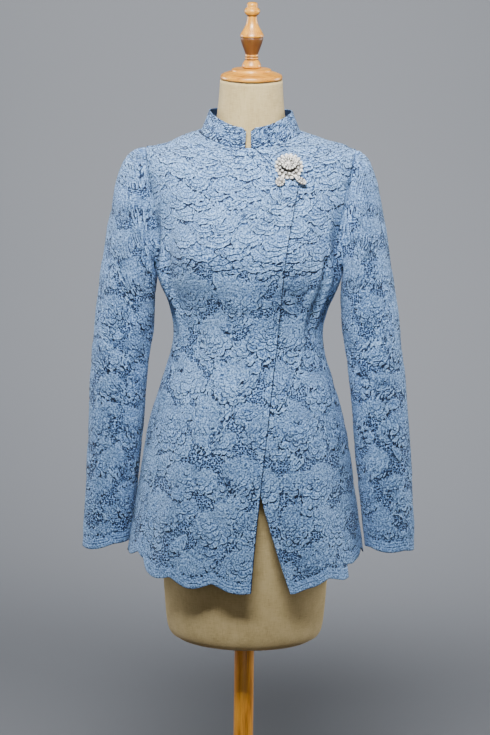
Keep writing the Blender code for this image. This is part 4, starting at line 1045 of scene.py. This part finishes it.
class Finish:
    """One material and the nodes behind its Principled shader."""

    def __init__(self, name, roughness, **constants):
        self.material = bpy.data.materials.new(name)
        self.material.use_nodes = True
        self.tree = self.material.node_tree
        self.shader = self.tree.nodes["Principled BSDF"]
        self.shader.inputs["Roughness"].default_value = roughness
        for socket, value in constants.items():
            self.shader.inputs[socket.replace("_", " ")].default_value = value

    def node(self, kind, settings, sockets, out=0):
        """A node of that kind: its settings first, then what its sockets hold; gives one output."""
        made = self.tree.nodes.new("ShaderNode" + kind)
        for key, value in settings.items():
            if key == "stops":
                for number, (at, colour) in enumerate(value):
                    ramp = made.color_ramp.elements
                    stop = ramp[number] if number < 2 else ramp.new(at)
                    stop.position, stop.color = at, (*colour, 1.0)
            else:
                setattr(made, key, value)
        for key, value in sockets.items():
            self.feed(made.inputs[key], value)
        return Wire(self, made.outputs[out])

    def feed(self, socket, value):
        if isinstance(value, Wire):
            self.tree.links.new(value.socket, socket)
        else:
            socket.default_value = value

    def paint(self, **values):
        for socket, value in values.items():
            self.feed(self.shader.inputs[socket.replace("_", " ")], value)
        return self.material

    def stored(self, name):
        return self.node("Attribute", {"attribute_name": name}, {}, out="Fac")

    def place(self):
        return self.node("TexCoord", {}, {}, out="Object")

    def rise(self, value, low, high):
        """0 below low, 1 above high, and an S curve between."""
        return self.node("MapRange", {"interpolation_type": "SMOOTHSTEP"}, {0: value, 1: low, 2: high})

    def band(self, value, low, high, soft):
        """1 where the value is between low and high."""
        return self.rise(value, low - soft, low + soft) * (1 - self.rise(value, high - soft, high + soft))

    def larger(self, first, second):
        return self.node("Math", {"operation": "MAXIMUM"}, {0: first, 1: second})

    def blend(self, share, first, second):
        """Between two numbers, by a share."""
        return first + (second - first) * share

    def stretched(self, place, scale, turn=(0, 0, 0)):
        return self.node("Mapping", {}, {"Vector": place, "Scale": scale, "Rotation": turn})

    def noise(self, place, scale, detail=2.0, roughness=0.5):
        sockets = {"Vector": place, "Scale": scale, "Detail": detail, "Roughness": roughness}
        return self.node("TexNoise", {}, sockets)

    def bump(self, height, distance=MM, strength=1.0):
        sockets = {"Height": height, "Distance": distance, "Strength": strength}
        return self.node("Bump", {}, sockets)

    def ramp(self, share, stops):
        return self.node("ValToRGB", {"stops": stops}, {0: share})

    def tinted(self, colour, share, other):
        return self.node("Mix", {"data_type": "RGBA"}, {0: share, 6: colour, 7: other}, out=2)


# Where the dark lines of the corded border lie, in from the hem.
OUTER_CORD, MIDDLE_CORD, INNER_CORD = (3.7, 4.7), (8.2, 9.4), (13.2, 14.3)
COARSE_FROM, COARSE_TO = 700, 750  # how far up the cloth its shade grows uneven


def lace_finish(name, shades, net_pitch, lift):
    """Corded lace on its lining: stitched petals with lighter cords at their rims, partly painted
    highlight, over painted shadows beneath the rims, and net between.
    """
    lace = Finish(name, 0.82, Sheen_Weight=0.08, Sheen_Roughness=0.5, Specular_IOR_Level=0.2)
    rim, near, weight = lace.stored("rim"), lace.stored("near"), lace.stored("weight")
    tone, edge = lace.stored("tone"), lace.stored("edge")
    lie_x, lie_y = lace.stored("lie_x"), lace.stored("lie_y")
    lie = lace.node("CombineXYZ", {}, {0: lie_x, 1: lie_y})
    grain = lace.noise(lie, 0.36, 2.0, 0.7)
    loops = lace.node(
        "TexVoronoi", {"feature": "F1", "voronoi_dimensions": "2D"},
        {"Vector": lie, "Scale": 0.34, "Randomness": 0.9},
    )
    grain = grain + (loops - 0.42) * 0.3
    cloud = lace.noise(lie, 0.1, 2.0, 0.5)
    wander = (lace.noise(lie, 0.33, 1.0) - 0.5) * 1.4
    by_rim = 1 - lace.rise(near, 3.4, 4.6)
    rim = rim + wander * 0.6
    # Painted shadow just beyond each rim, as dark as the stored weight says; just inside the rim a lighter
    # cord, partly painted highlight.
    reach = rim + weight * 1.7 + 0.4
    shadow = lace.rise(reach, -0.4, 0.5) * (1 - lace.rise(rim, -0.4, 0.4)) * by_rim * weight
    cord_and_highlight = lace.band(rim, 0.4, 2.1, 0.4) * by_rim * (0.25 + weight)
    strokes = lace.node("CombineXYZ", {}, {0: lace.stored("stroke_u"), 1: lace.stored("stroke_v")})
    stroke = lace.noise(strokes, 1.0, 1.0, 0.5)
    dark_stroke = 1 - lace.rise(stroke, 0.3, 0.44)
    light_stroke = lace.rise(stroke, 0.54, 0.7)
    tick = (1 - lace.rise(stroke, 0.24, 0.3)) * lace.rise(cloud, 0.5, 0.6)
    holes = lace.node(
        "TexVoronoi", {"feature": "F1", "voronoi_dimensions": "2D"},
        {"Vector": lie, "Scale": 1 / net_pitch, "Randomness": 0.8},
    )
    hole = 1 - lace.rise(holes, 0.26, 0.46)
    open_net = lace.rise(lace.stored("open_net") + wander, 0.2, 1.1)

    motif = 0.7 + tone * 0.06 + cord_and_highlight * 0.2 - shadow * 0.95 + light_stroke * 0.3
    motif = motif - lace.rise(rim, 1.2, 5.8) * 0.17
    # A wider, softer painted shadow spreading below each rim.
    soft_shadow = lace.rise(rim + weight * 4.5 + 0.5, -0.5, 4.5) * (1 - lace.rise(rim, -0.4, 0.4)) * by_rim
    motif = motif - dark_stroke * 0.5 - tick * 0.3 - soft_shadow * weight * 0.35 + (grain - 0.5) * 1.9
    net = lace.blend(hole, 0.65, -0.25) + (grain - 0.5) * 2.0

    along_hem = lace.node("CombineXYZ", {}, {0: lie_x * 0.1, 1: edge * 0.9})
    streak = lace.noise(along_hem, 1.0, 2.0, 0.6)
    broken = lace.noise(lace.node("CombineXYZ", {}, {0: lie_x * 0.09, 1: lie_y * 0.02}), 1.0, 2.0)
    hem = edge + wander * 0.7
    outer = lace.band(hem, *OUTER_CORD, 0.4) * 0.15
    lines = outer + lace.band(hem, *MIDDLE_CORD, 0.4) * lace.rise(broken, 0.36, 0.5) * 0.45
    lines = lace.band(hem, *INNER_CORD, 0.4) * (1 - lace.rise(broken, 0.5, 0.62)) * 0.4 + lines
    border = 1 - lace.rise(hem, 20.5, 22.5)
    dashes = lace.band(hem, 17.5, 22.8, 0.6) * lace.rise(broken, 0.44, 0.54)
    open_net = lace.larger(open_net * (1 - border), dashes)
    face = lace.blend(border, motif, 0.7 - lines + (streak - 0.5) * 0.8 + (grain - 0.5) * 1.7)
    face = lace.blend(open_net, face, net)
    # Along the wrap's free edge: a painted shadow line about 1.5 mm wide, and a faint painted highlight
    # just inside it.
    free = lace.stored("free") + wander * 0.2
    face = lace.blend(1 - lace.rise(free, 0.8, 1.8), face + lace.band(free, 2.0, 3.8, 0.5) * 0.08, 0.0)
    slope = lace.rise(lie_y, COARSE_FROM, COARSE_TO)
    coarse = lace.noise(lie, 0.2, 2.0, 0.6)
    face = face + (cloud - 0.5) * 0.16 + (coarse - 0.5) * slope * 2.0 + lift

    stand = lace.blend(by_rim, 1.0, lace.rise(rim, -0.8, 0.5))
    height = stand * 1.3 + cord_and_highlight * 0.3 - dark_stroke * 0.4 + light_stroke * 0.25
    height = lace.blend(border, height, 0.6 - lines + streak * 0.5)
    height = height - open_net * (hole * 0.5 + 0.35) + grain * 1.1
    return lace.paint(Base_Color=lace.ramp(face, shades), Normal=lace.bump(height))


LACE_SHADES = (
    (0.0, (0.010, 0.021, 0.055)),
    (0.3, (0.04, 0.088, 0.21)),
    (0.55, (0.13, 0.25, 0.49)),
    (0.75, (0.235, 0.42, 0.77)),
    (1.0, (0.41, 0.66, 1.0)),
)


def lining_finish():
    lining = Finish("lining_side", 0.85, Specular_IOR_Level=0.2)
    weave = lining.noise(lining.stretched(lining.place(), (900, 900, 900)), 1.0, 2.0)
    colour = lining.ramp(weave, ((0.3, (0.018, 0.035, 0.085)), (0.7, (0.045, 0.08, 0.17))))
    return lining.paint(Base_Color=colour, Normal=lining.bump(weave * 0.2))


LINEN_SHADES = ((0.3, (0.37, 0.275, 0.12)), (0.5, (0.53, 0.41, 0.2)), (0.75, (0.64, 0.51, 0.275)))


def linen_finish():
    """Undyed linen stretched over the form: fine slubbed threads both ways, slightly mottled."""
    linen = Finish("form_linen", 0.9, Sheen_Weight=0.1, Specular_IOR_Level=0.2)
    place = linen.place()
    weft = linen.noise(linen.stretched(place, (90, 90, 1100)), 1.0, 2.0, 0.6)
    warp = linen.noise(linen.stretched(place, (1100, 1100, 60)), 1.0, 2.0, 0.6)
    mottle = linen.noise(place, 38.0, 3.0, 0.6)
    threads = weft * 0.5 + warp * 0.5
    share = threads * 0.75 + mottle * 0.35 - 0.05
    colour = linen.ramp(share, LINEN_SHADES)
    return linen.paint(Base_Color=colour, Normal=linen.bump(threads * 0.5))


WOOD_SHADES = ((0.3, (0.3, 0.1, 0.008)), (0.5, (0.64, 0.255, 0.02)), (0.72, (0.86, 0.41, 0.04)))
BURN_AND_SHADE_BROWN = (0.1, 0.035, 0.012, 1.0)


def wood_finish(name, grain, dark_lines=(), dark_from=0.0, dark_to=0.0):
    """Honey-coloured turned wood, oiled: grain is the scale of its figure along x, y and z."""
    wood = Finish(name, 0.36, Coat_Weight=0.35, Coat_Roughness=0.2)
    place = wood.place()
    figure = wood.noise(wood.stretched(place, grain), 1.0, 4.0, 0.6)
    pores = wood.noise(wood.stretched(place, tuple(4 * g for g in grain)), 1.0, 2.0, 0.7)
    share = figure * 0.8 + pores * 0.25
    colour = wood.ramp(share, WOOD_SHADES)
    height = wood.node("SeparateXYZ", {}, {0: place}, out=2) / MM
    burn_and_shade = 0.0
    # Dark lines at the given heights: burn lines in the finial's grooves, and at the cap's foot partly a
    # burnt edge, partly painted shadow beneath the disc. The band from dark_from to dark_to is the cup's
    # darker wood together with painted shade on its downward-facing side.
    for line_height in dark_lines:
        apart = wood.node("Math", {"operation": "ABSOLUTE"}, {0: height - line_height})
        burn_and_shade = (1 - wood.rise(apart, 0.4, 1.5)) * 0.9 + burn_and_shade
    if dark_lines:
        burn_and_shade = wood.band(height, dark_from, dark_to, 0.6) * 0.9 + burn_and_shade
        colour = wood.tinted(colour, burn_and_shade, BURN_AND_SHADE_BROWN)
    return wood.paint(Base_Color=colour, Roughness=0.3 + pores * 0.2, Normal=wood.bump(pores * 0.12))


def pearl_finish():
    pearl = Finish("pearl", 0.2, Coat_Weight=0.7, Coat_Roughness=0.08, Specular_IOR_Level=0.6)
    cloud = pearl.noise(pearl.place(), 420.0, 2.0)
    colour = pearl.ramp(cloud, ((0.35, (0.86, 0.8, 0.7)), (0.6, (0.98, 0.96, 0.92))))
    return pearl.paint(Base_Color=colour)


def crystal_finish():
    crystal = Finish("cut_stone", 0.06, Metallic=0.2, Specular_IOR_Level=0.9)
    tint = crystal.noise(crystal.place(), 700.0, 1.0)
    colour = crystal.ramp(tint, ((0.35, (0.4, 0.42, 0.45)), (0.6, (0.97, 0.96, 0.92))))
    return crystal.paint(Base_Color=colour)


def setting_finish():
    setting = Finish("silver_setting", 0.28, Metallic=1.0)
    wear = setting.noise(setting.place(), 260.0, 3.0)
    colour = setting.ramp(wear, ((0.35, (0.06, 0.055, 0.05)), (0.65, (0.2, 0.19, 0.17))))
    return setting.paint(Base_Color=colour, Roughness=0.22 + wear * 0.2)


def paper_finish():
    """Pale paper, and nothing at all from behind, so that it hides nothing from that side."""
    paper = Finish("studio_paper", 0.95, Specular_IOR_Level=0.1)
    cloud = paper.noise(paper.place(), 0.6, 2.0)
    paper.paint(Base_Color=paper.ramp(cloud, ((0.3, (0.25, 0.262, 0.287)), (0.7, (0.262, 0.274, 0.299)))))
    behind = paper.node("NewGeometry", {}, {}, out="Backfacing")
    clear = paper.node("BsdfTransparent", {}, {})
    seen = paper.node("MixShader", {}, {0: behind, 1: Wire(paper, paper.shader.outputs[0]), 2: clear})
    paper.feed(paper.tree.nodes["Material Output"].inputs["Surface"], seen)
    return paper.material


# --- brooch -------------------------------------------------------------------------------------
def brooch_frame():
    """Where the brooch sits: across, up and out from the cloth it is pinned on, in millimetres."""
    angle, station = place_on_front(np.array([BROOCH_ACROSS]), np.array([BROOCH_HEIGHT]))
    lift = np.array([WALL + LAYER_GAP])
    middle = body_point(angle, station, lift)[0]
    across = (body_point(angle + 4, station, lift) - body_point(angle - 4, station, lift))[0]
    up = (body_point(angle, station + 8, lift) - body_point(angle, station - 8, lift))[0]
    out = Vector(np.cross(across, up)).normalized()
    across = Vector((0, 0, 1)).cross(out).normalized()
    frame_here = Matrix((across, out.cross(across), out)).transposed().to_4x4()
    frame_here.translation = Vector(middle) + out * BROOCH_CLEAR
    return frame_here


def finished(name, bm, finishes, smooth_faces=True, collection=TRIM):
    """One piece from a bmesh in millimetres."""
    bmesh.ops.scale(bm, verts=bm.verts, vec=(MM, MM, MM))
    mesh = bpy.data.meshes.new(name)
    bm.to_mesh(mesh)
    bm.free()
    if smooth_faces:
        mesh.shade_smooth()
    for finish in finishes:
        mesh.materials.append(finish)
    piece = bpy.data.objects.new(name, mesh)
    collection.objects.link(piece)
    return piece


def bead(bm, at, radius, subdivisions=2):
    made = bmesh.ops.create_icosphere(bm, subdivisions=subdivisions, radius=radius)
    bmesh.ops.translate(bm, verts=made["verts"], vec=at)


def ring_of(count, radius, start=0.0):
    for number in range(count):
        turn = math.radians(start) + 2 * math.pi * number / count
        yield Vector((radius * math.cos(turn), radius * math.sin(turn), 0.0))


def make_brooch(pearl, crystal, setting):
    """A pearl rosette with a high dome, over two small sprays set with stones."""
    here = brooch_frame()
    plate, pearls, stones = bmesh.new(), bmesh.new(), bmesh.new()
    base = bmesh.ops.create_cone(plate, cap_ends=True, segments=60, radius1=19.0, radius2=20.4, depth=1.8)
    bmesh.ops.translate(plate, verts=base["verts"], vec=(0, 0, 0.95))
    drum = bmesh.ops.create_cone(plate, cap_ends=True, segments=48, radius1=12.5, radius2=9.6, depth=6.6)
    bmesh.ops.translate(plate, verts=drum["verts"], vec=(0, 2.2, 4.9))
    dome = bmesh.ops.create_icosphere(plate, subdivisions=3, radius=1.0)
    bmesh.ops.scale(plate, verts=dome["verts"], vec=(11.0, 10.2, 4.6))
    bmesh.ops.translate(plate, verts=dome["verts"], vec=(0, DOME_RISE, 8.6))
    for at in ring_of(18, 20.0):
        bead(pearls, at + Vector((0, 0, 3.2)), 2.8)
    for number, at in enumerate(ring_of(15, 14.6, 6)):
        bead(pearls if number % 2 else stones, at + Vector((0, 1.2, 5.6)), 2.05, 2 if number % 2 else 1)
    for at in ring_of(16, 11.4, 3):
        bead(pearls, at + Vector((0, DOME_RISE, 9.2)), 1.75)
    golden = math.pi * (3 - math.sqrt(5))
    for number in range(40):
        level = 1 - number / 39 * 0.9
        ring = math.sqrt(max(0.0, 1 - level * level))
        turn = golden * number
        right, up = 10.4 * ring * math.cos(turn), 9.8 * ring * math.sin(turn) + DOME_RISE
        at = Vector((right, up, 4.9 * level + 8.8))
        bead(stones if number % 3 == 1 else pearls, at, 1.4, 1 if number % 3 == 1 else 2)
    for spray in SPRAYS:
        turn = Matrix.Rotation(math.radians(spray.turn), 4, "Z")
        turn = Matrix.Translation((spray.right, spray.up, 0.4)) @ turn
        back = bmesh.ops.create_cone(
            plate, cap_ends=True, segments=32, radius1=0.94, radius2=1.0, depth=1.4
        )
        grow = Matrix.Diagonal((spray.length / 2, spray.width / 2, 1, 1))
        raise_back = Matrix.Translation((0, 0, 0.7))
        bmesh.ops.transform(plate, verts=back["verts"], matrix=turn @ raise_back @ grow)
        for at in ring_of(spray.beads, 1.0):
            spot = Vector((at.x * (spray.length / 2 - 1.7), at.y * (spray.width / 2 - 1.7), 2.3))
            bead(pearls, turn @ spot, 1.4)
        for share in spray.stones:
            bead(stones, turn @ Vector((share * spray.length / 2, 0, 2.7)), spray.stone_radius, 1)
        stem = bmesh.ops.create_cone(
            plate, cap_ends=True, segments=16, radius1=1.5, radius2=1.5, depth=10.0
        )
        lay = Matrix.Rotation(math.radians(90), 4, "Y")
        reach = Matrix.Translation((-spray.length / 2 - 3.0, 0, 1.2))
        bmesh.ops.transform(plate, verts=stem["verts"], matrix=turn @ reach @ lay)
        for step in range(3):
            bead(pearls, turn @ Vector((-spray.length / 2 - 0.6 - 2.8 * step, 0, 2.9)), 1.5)
    pieces = []
    for name, bm, finish, soft in (
        ("brooch_setting", plate, setting, False),
        ("brooch_pearls", pearls, pearl, True),
        ("brooch_stones", stones, crystal, False),
    ):
        bmesh.ops.transform(bm, verts=bm.verts, matrix=here)
        pieces.append(finished(name, bm, [finish], soft))
    return pieces


DOME_RISE = 4.4  # how far the dome's middle is above the ring's
Spray = namedtuple("Spray", "right up turn length width beads stones stone_radius")
SPRAYS = (
    Spray(-14.4, -25.4, 242.0, 17.5, 15.0, 11, (-0.3, 0.35), 2.6),
    Spray(18.0, -23.6, 325.0, 20.0, 10.6, 11, (-0.45, 0.0, 0.45), 2.0),
)


# --- turned pieces of the form ------------------------------------------------------------------
Turn = namedtuple("Turn", "radius height")
CAP_FOOT_Z = 1447.6
CAP_TURNS = (
    Turn(0, 0), Turn(46.8, 0), Turn(47.6, 0.5), Turn(49.0, 2.2), Turn(49.1, 4.0), Turn(48.6, 6.0),
    Turn(47.2, 8.0), Turn(45.0, 9.1), Turn(38.0, 11.6),
    Turn(33.4, 12.8), Turn(31.7, 13.3), Turn(31.3, 14.2),
    Turn(31.0, 15.8), Turn(30.2, 16.8), Turn(28.5, 17.4), Turn(15.0, 18.2), Turn(0, 18.6),
)
BASE_TURNS = (
    Turn(0, 0), Turn(60, 0), Turn(186.4, 0), Turn(187.6, 0.4),
    Turn(189.7, 2.6), Turn(190, 4.4), Turn(190, 10.2),
    Turn(189.4, 12.4), Turn(186.2, 15.6), Turn(183.0, 16.3),
    Turn(150, 19.5), Turn(100, 22.5), Turn(60, 25),
    Turn(44, 26.4), Turn(35.0, 27.6), Turn(33.6, 28.4), Turn(30.4, 33.2),
    Turn(29.6, 33.9), Turn(17, 34), Turn(0, 34),
)
FINIAL_FOOT_Z = 1466.7
FINIAL_TURNS = (
    Turn(0, 0), Turn(14.2, 0), Turn(14.6, 0.3), Turn(15.2, 2.2), Turn(14.8, 4.4), Turn(13.6, 7.0),
    Turn(11.6, 10.6), Turn(10.3, 12.1), Turn(9.5, 12.5), Turn(9.5, 13.1), Turn(10.7, 13.6),
    Turn(11.0, 14.8), Turn(10.5, 16.2), Turn(9.5, 16.5),
    Turn(9.5, 17.1), Turn(10.4, 17.7), Turn(10.6, 19.0),
    Turn(10.0, 20.4), Turn(10.3, 22.0), Turn(12.6, 28.4),
    Turn(15.2, 35.0), Turn(17.2, 41.0), Turn(18.1, 45.6),
    Turn(17.9, 46.6), Turn(17.1, 47.0), Turn(17.1, 47.8),
    Turn(18.4, 48.3), Turn(18.8, 49.8), Turn(18.0, 52.4),
    Turn(15.6, 56.4), Turn(12.6, 61.2), Turn(10.0, 66.4),
    Turn(8.5, 71.4), Turn(7.8, 76.4), Turn(7.6, 80.4),
    Turn(7.9, 81.4), Turn(9.8, 82.6), Turn(11.8, 85.0),
    Turn(12.6, 87.8), Turn(12.2, 90.4), Turn(10.6, 92.6),
    Turn(8.7, 93.6), Turn(8.5, 94.6), Turn(8.9, 97.2),
    Turn(8.3, 100.0), Turn(6.2, 102.0), Turn(0, 102.8),
)
FINIAL_GROOVES = (12.8, 16.8, 47.4, 81.2)
FINIAL_CUP = (20.5, 46.5)  # heights between which it is painted darker: its darker wood, and painted shade on its downward-facing side


def make_turned(name, turns, foot_z, finish):
    """A turned solid: its profile spun round the upright axis."""
    bm = bmesh.new()
    points = [bm.verts.new((row.radius, 0, foot_z + row.height)) for row in turns]
    edges = [bm.edges.new(pair) for pair in zip(points, points[1:])]
    bmesh.ops.spin(
        bm, geom=points + edges, cent=(0, 0, 0), axis=(0, 0, 1), angle=2 * math.pi, steps=32, use_merge=True
    )
    bmesh.ops.remove_doubles(bm, verts=bm.verts, dist=0.01)
    bmesh.ops.recalc_face_normals(bm, faces=bm.faces)
    piece = finished(name, bm, [finish])
    rounding = piece.modifiers.new("rounding", "SUBSURF")
    rounding.levels = 2
    rounding.render_levels = 2
    return piece


def make_torso(linen):
    """The form's body, from under the seat to the top of its neck, smooth and whole."""
    columns, rows = TORSO_GRID
    bm = grid_mesh(columns, rows)
    flat = np.array([vertex.co[:2] for vertex in bm.verts])
    angle = 360 * np.round(np.clip(flat[:, 0], 0, 1) * columns) % (360 * columns) / columns % 360
    station = mix(FORM_RINGS[0].station, FORM_RINGS[-1].station, np.clip(flat[:, 1], 0, 1))
    signed = (angle + 180) % 360 - 180
    swell = bust_swell(signed, station, FORM_BUST_HEIGHT)[..., None]
    points = let_down(ring_point(ring_at(FORM_RINGS, station), angle) + outwards(angle) * swell)
    for vertex, point in zip(bm.verts, points):
        vertex.co = point
    bmesh.ops.remove_doubles(bm, verts=bm.verts, dist=0.01)
    bmesh.ops.holes_fill(bm, edges=[edge for edge in bm.edges if edge.is_boundary], sides=0)
    bmesh.ops.recalc_face_normals(bm, faces=bm.faces)
    return finished("form_torso_linen", bm, [linen])


def make_pole(wood):
    bm = bmesh.new()
    bmesh.ops.create_cone(
        bm, cap_ends=True, segments=64, radius1=POLE_RADIUS, radius2=POLE_RADIUS,
        depth=POLE_TOP_Z - POLE_FOOT_Z,
    )
    bmesh.ops.translate(bm, verts=bm.verts, vec=(0, 0, (POLE_TOP_Z + POLE_FOOT_Z) / 2))
    piece = finished("pole_turned", bm, [wood])
    rounding = piece.modifiers.new("rounded ends", "BEVEL")
    rounding.width = 0.8 * MM
    rounding.segments = 2
    return piece


# --- studio -------------------------------------------------------------------------------------
EYE_AZIMUTH, EYE_ELEVATION, EYE_ROLL = math.radians(4.0), math.radians(12.5), math.radians(0.7)
EYE_TARGET = Vector((-0.0045, 0.0, 0.985))
EYE_DISTANCE = 5.0
LENS = 153.06  # with a 36 mm sensor on the picture's longer side


def make_camera():
    back = Vector((
        math.sin(EYE_AZIMUTH) * math.cos(EYE_ELEVATION),
        -math.cos(EYE_AZIMUTH) * math.cos(EYE_ELEVATION),
        math.sin(EYE_ELEVATION),
    ))
    level = (-back).cross(Vector((0, 0, 1))).normalized()
    upright = level.cross(-back)
    right = level * math.cos(EYE_ROLL) + upright * math.sin(EYE_ROLL)
    up = upright * math.cos(EYE_ROLL) - level * math.sin(EYE_ROLL)
    data = bpy.data.cameras.new("camera")
    data.sensor_width = 36.0
    data.lens = LENS
    data.clip_end = 100.0
    camera = bpy.data.objects.new("camera", data)
    turned = Matrix((right, up, back)).transposed().to_4x4()
    turned.translation = EYE_TARGET + back * EYE_DISTANCE
    camera.matrix_world = turned
    bpy.context.scene.collection.objects.link(camera)
    bpy.context.scene.camera = camera


Lamp = namedtuple("Lamp", "name place aim size watts colour spread")
NEUTRAL, FAINTLY_WARM = (1.0, 1.0, 1.0), (1.0, 0.99, 0.97)
LAMPS = (
    Lamp("key", (0.0, -1.65, 2.8), (0, 0, 1.43), (1.2, 0.5), 13.6, (0.975, 0.985, 1.0), 46.0),
    Lamp("fill", (0.6, -3.6, 1.5), (0, 0, 1.0), (2.4, 1.6), 3.8, (1.0, 0.94, 0.86), 90.0),
    Lamp("paper light", (-0.3, 0.9, 2.05), (-0.2, 3.25, 1.25), (3.2, 0.5), 42.0, NEUTRAL, 110.0),
    Lamp("floor light", (0.1, 0.7, 1.5), (0.0, 2.1, 0.0), (2.2, 0.5), 2.4, NEUTRAL, 120.0),
    Lamp("left back light", (2.6, 1.2, 1.5), (0, 0, 1.0), (1.0, 1.2), 8.0, FAINTLY_WARM, 58.0),
    Lamp("right back light", (-2.6, 1.2, 1.5), (0, 0, 1.0), (1.0, 1.2), 8.0, FAINTLY_WARM, 58.0),
)
SKY_COLOUR, SKY_STRENGTH = (1.0, 0.98, 0.96, 1.0), 0.11


def area_light(lamp):
    data = bpy.data.lights.new(lamp.name, "AREA")
    data.shape = "RECTANGLE"
    data.size, data.size_y = lamp.size
    data.energy = lamp.watts
    data.color = lamp.colour
    data.spread = math.radians(lamp.spread)
    light = bpy.data.objects.new(lamp.name, data)
    light.location = lamp.place
    way = Vector(lamp.aim) - Vector(lamp.place)
    light.rotation_euler = way.to_track_quat("-Z", "Y").to_euler()
    bpy.context.scene.collection.objects.link(light)


# The paper's line from front to back and up, in metres, and its width in millimetres.
SWEEP = ((-9.0, 0.0), (1.3, 0.0), (2.1, 0.05), (2.75, 0.28), (3.15, 0.75), (3.25, 1.4), (3.25, 7.0))
SWEEP_WIDTH = 18000.0


def make_studio():
    """A pale paper sweep behind the form, a broad light above its front and weaker ones round it."""
    bm = bmesh.new()
    points = [bm.verts.new((-SWEEP_WIDTH / 2, 1000 * y, 1000 * z)) for y, z in SWEEP]
    edges = [bm.edges.new(pair) for pair in zip(points, points[1:])]
    grown = bmesh.ops.extrude_edge_only(bm, edges=edges)
    far_side = [part for part in grown["geom"] if isinstance(part, bmesh.types.BMVert)]
    bmesh.ops.translate(bm, verts=far_side, vec=(SWEEP_WIDTH, 0, 0))
    bmesh.ops.recalc_face_normals(bm, faces=bm.faces)
    if sum(face.normal.z for face in bm.faces) < 0:
        bmesh.ops.reverse_faces(bm, faces=bm.faces)
    sweep = finished("paper_sweep", bm, [paper_finish()], collection=bpy.context.scene.collection)
    rounding = sweep.modifiers.new("rounding", "SUBSURF")
    rounding.levels = 3
    rounding.render_levels = 3
    world = bpy.data.worlds.new("studio")
    world.use_nodes = True
    sky = world.node_tree.nodes["Background"]
    sky.inputs["Color"].default_value = SKY_COLOUR
    sky.inputs["Strength"].default_value = SKY_STRENGTH
    bpy.context.scene.world = world
    for lamp in LAMPS:
        area_light(lamp)
    make_camera()


# --- putting it together ------------------------------------------------------------------------
def declare(piece, nodes, slot):
    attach(piece, "root")
    if nodes:
        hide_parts(*nodes)


def dress_form():
    """The linen body, its turned neck cap and finial, and the pole and base that it stands on."""
    dark_lines = tuple(FINIAL_FOOT_Z + line_height for line_height in FINIAL_GROOVES)
    cup_foot, cup_rim = (FINIAL_FOOT_Z + height for height in FINIAL_CUP)
    finial_wood = wood_finish("finial_wood", (170, 170, 14), dark_lines, cup_foot, cup_rim)
    # The dark line at the cap's foot is partly its burnt edge and partly painted shadow beneath the disc.
    flat_grain = wood_finish("cap_wood", (14, 120, 150), (CAP_FOOT_Z + 0.6,))
    base_wood = wood_finish("base_wood", (9, 90, 120))
    pieces = (
        (make_torso(linen_finish()), "form_torso", "form_linen"),
        (make_turned("neck_cap_turned", CAP_TURNS, CAP_FOOT_Z, flat_grain), "neck_cap", "wood"),
        (make_turned("finial_turned", FINIAL_TURNS, FINIAL_FOOT_Z, finial_wood), "finial", "wood"),
        (make_pole(wood_finish("pole_wood", (150, 150, 9))), "pole", "wood"),
        (make_turned("base_turned", BASE_TURNS, 0.0, base_wood), "base", "wood"),
    )
    for piece, node, slot in pieces:
        declare(piece, [node], slot)


def blouse():
    lace = lace_finish("lace", LACE_SHADES, 3.5, 0.0)
    # The sleeves' lace is the bodice's lace made a little darker overall: painted shade, since the sleeves
    # get less of the key light.
    shaded_sleeve_lace = lace_finish("shaded_sleeve_lace", LACE_SHADES, 3.5, -0.04)
    fine_lace = lace_finish("collar_lace", LACE_SHADES, 2.6, -0.03)
    lining = lining_finish()
    right_patch, left_patch = front_patches()
    finishes = [lace, lining]
    right = body_panel(
        "front_right_cloth", right_patch, RIGHT_FRONT_GRID, RIGHT_FRONT_HEM, (-vent_angle(-1), None),
        right_front_lift, 0.0, 11, finishes, overlaps=True,
    )
    left = body_panel(
        "front_left_cloth", left_patch, LEFT_FRONT_GRID, LEFT_FRONT_HEM, (None, vent_angle(1)),
        left_front_lift, 0.0, 23, finishes,
    )
    back = body_panel(
        "back_cloth", back_patch, BACK_GRID, BACK_PIECE_HEM, (None, None),
        no_lift, 180.0, 37, finishes,
    )
    sleeve_right = make_sleeve("sleeve_right_cloth", -1, 41, [shaded_sleeve_lace, lining])
    sleeve_left = make_sleeve("sleeve_left_cloth", 1, 59, [shaded_sleeve_lace, lining])
    collar = make_collar(71, [fine_lace, lining])
    declare(right, ["front_right"], "lace")
    declare(left, ["front_left"], "lace")
    declare(back, ["back"], "lace")
    declare(sleeve_right, ["sleeve_right"], "lace")
    declare(sleeve_left, ["sleeve_left"], "lace")
    declare(collar, ["collar"], "collar_lace")


dress_form()
blouse()
brooch = make_brooch(pearl_finish(), crystal_finish(), setting_finish())
for part in brooch:
    declare(part, ["brooch"], "pearl")
make_studio()
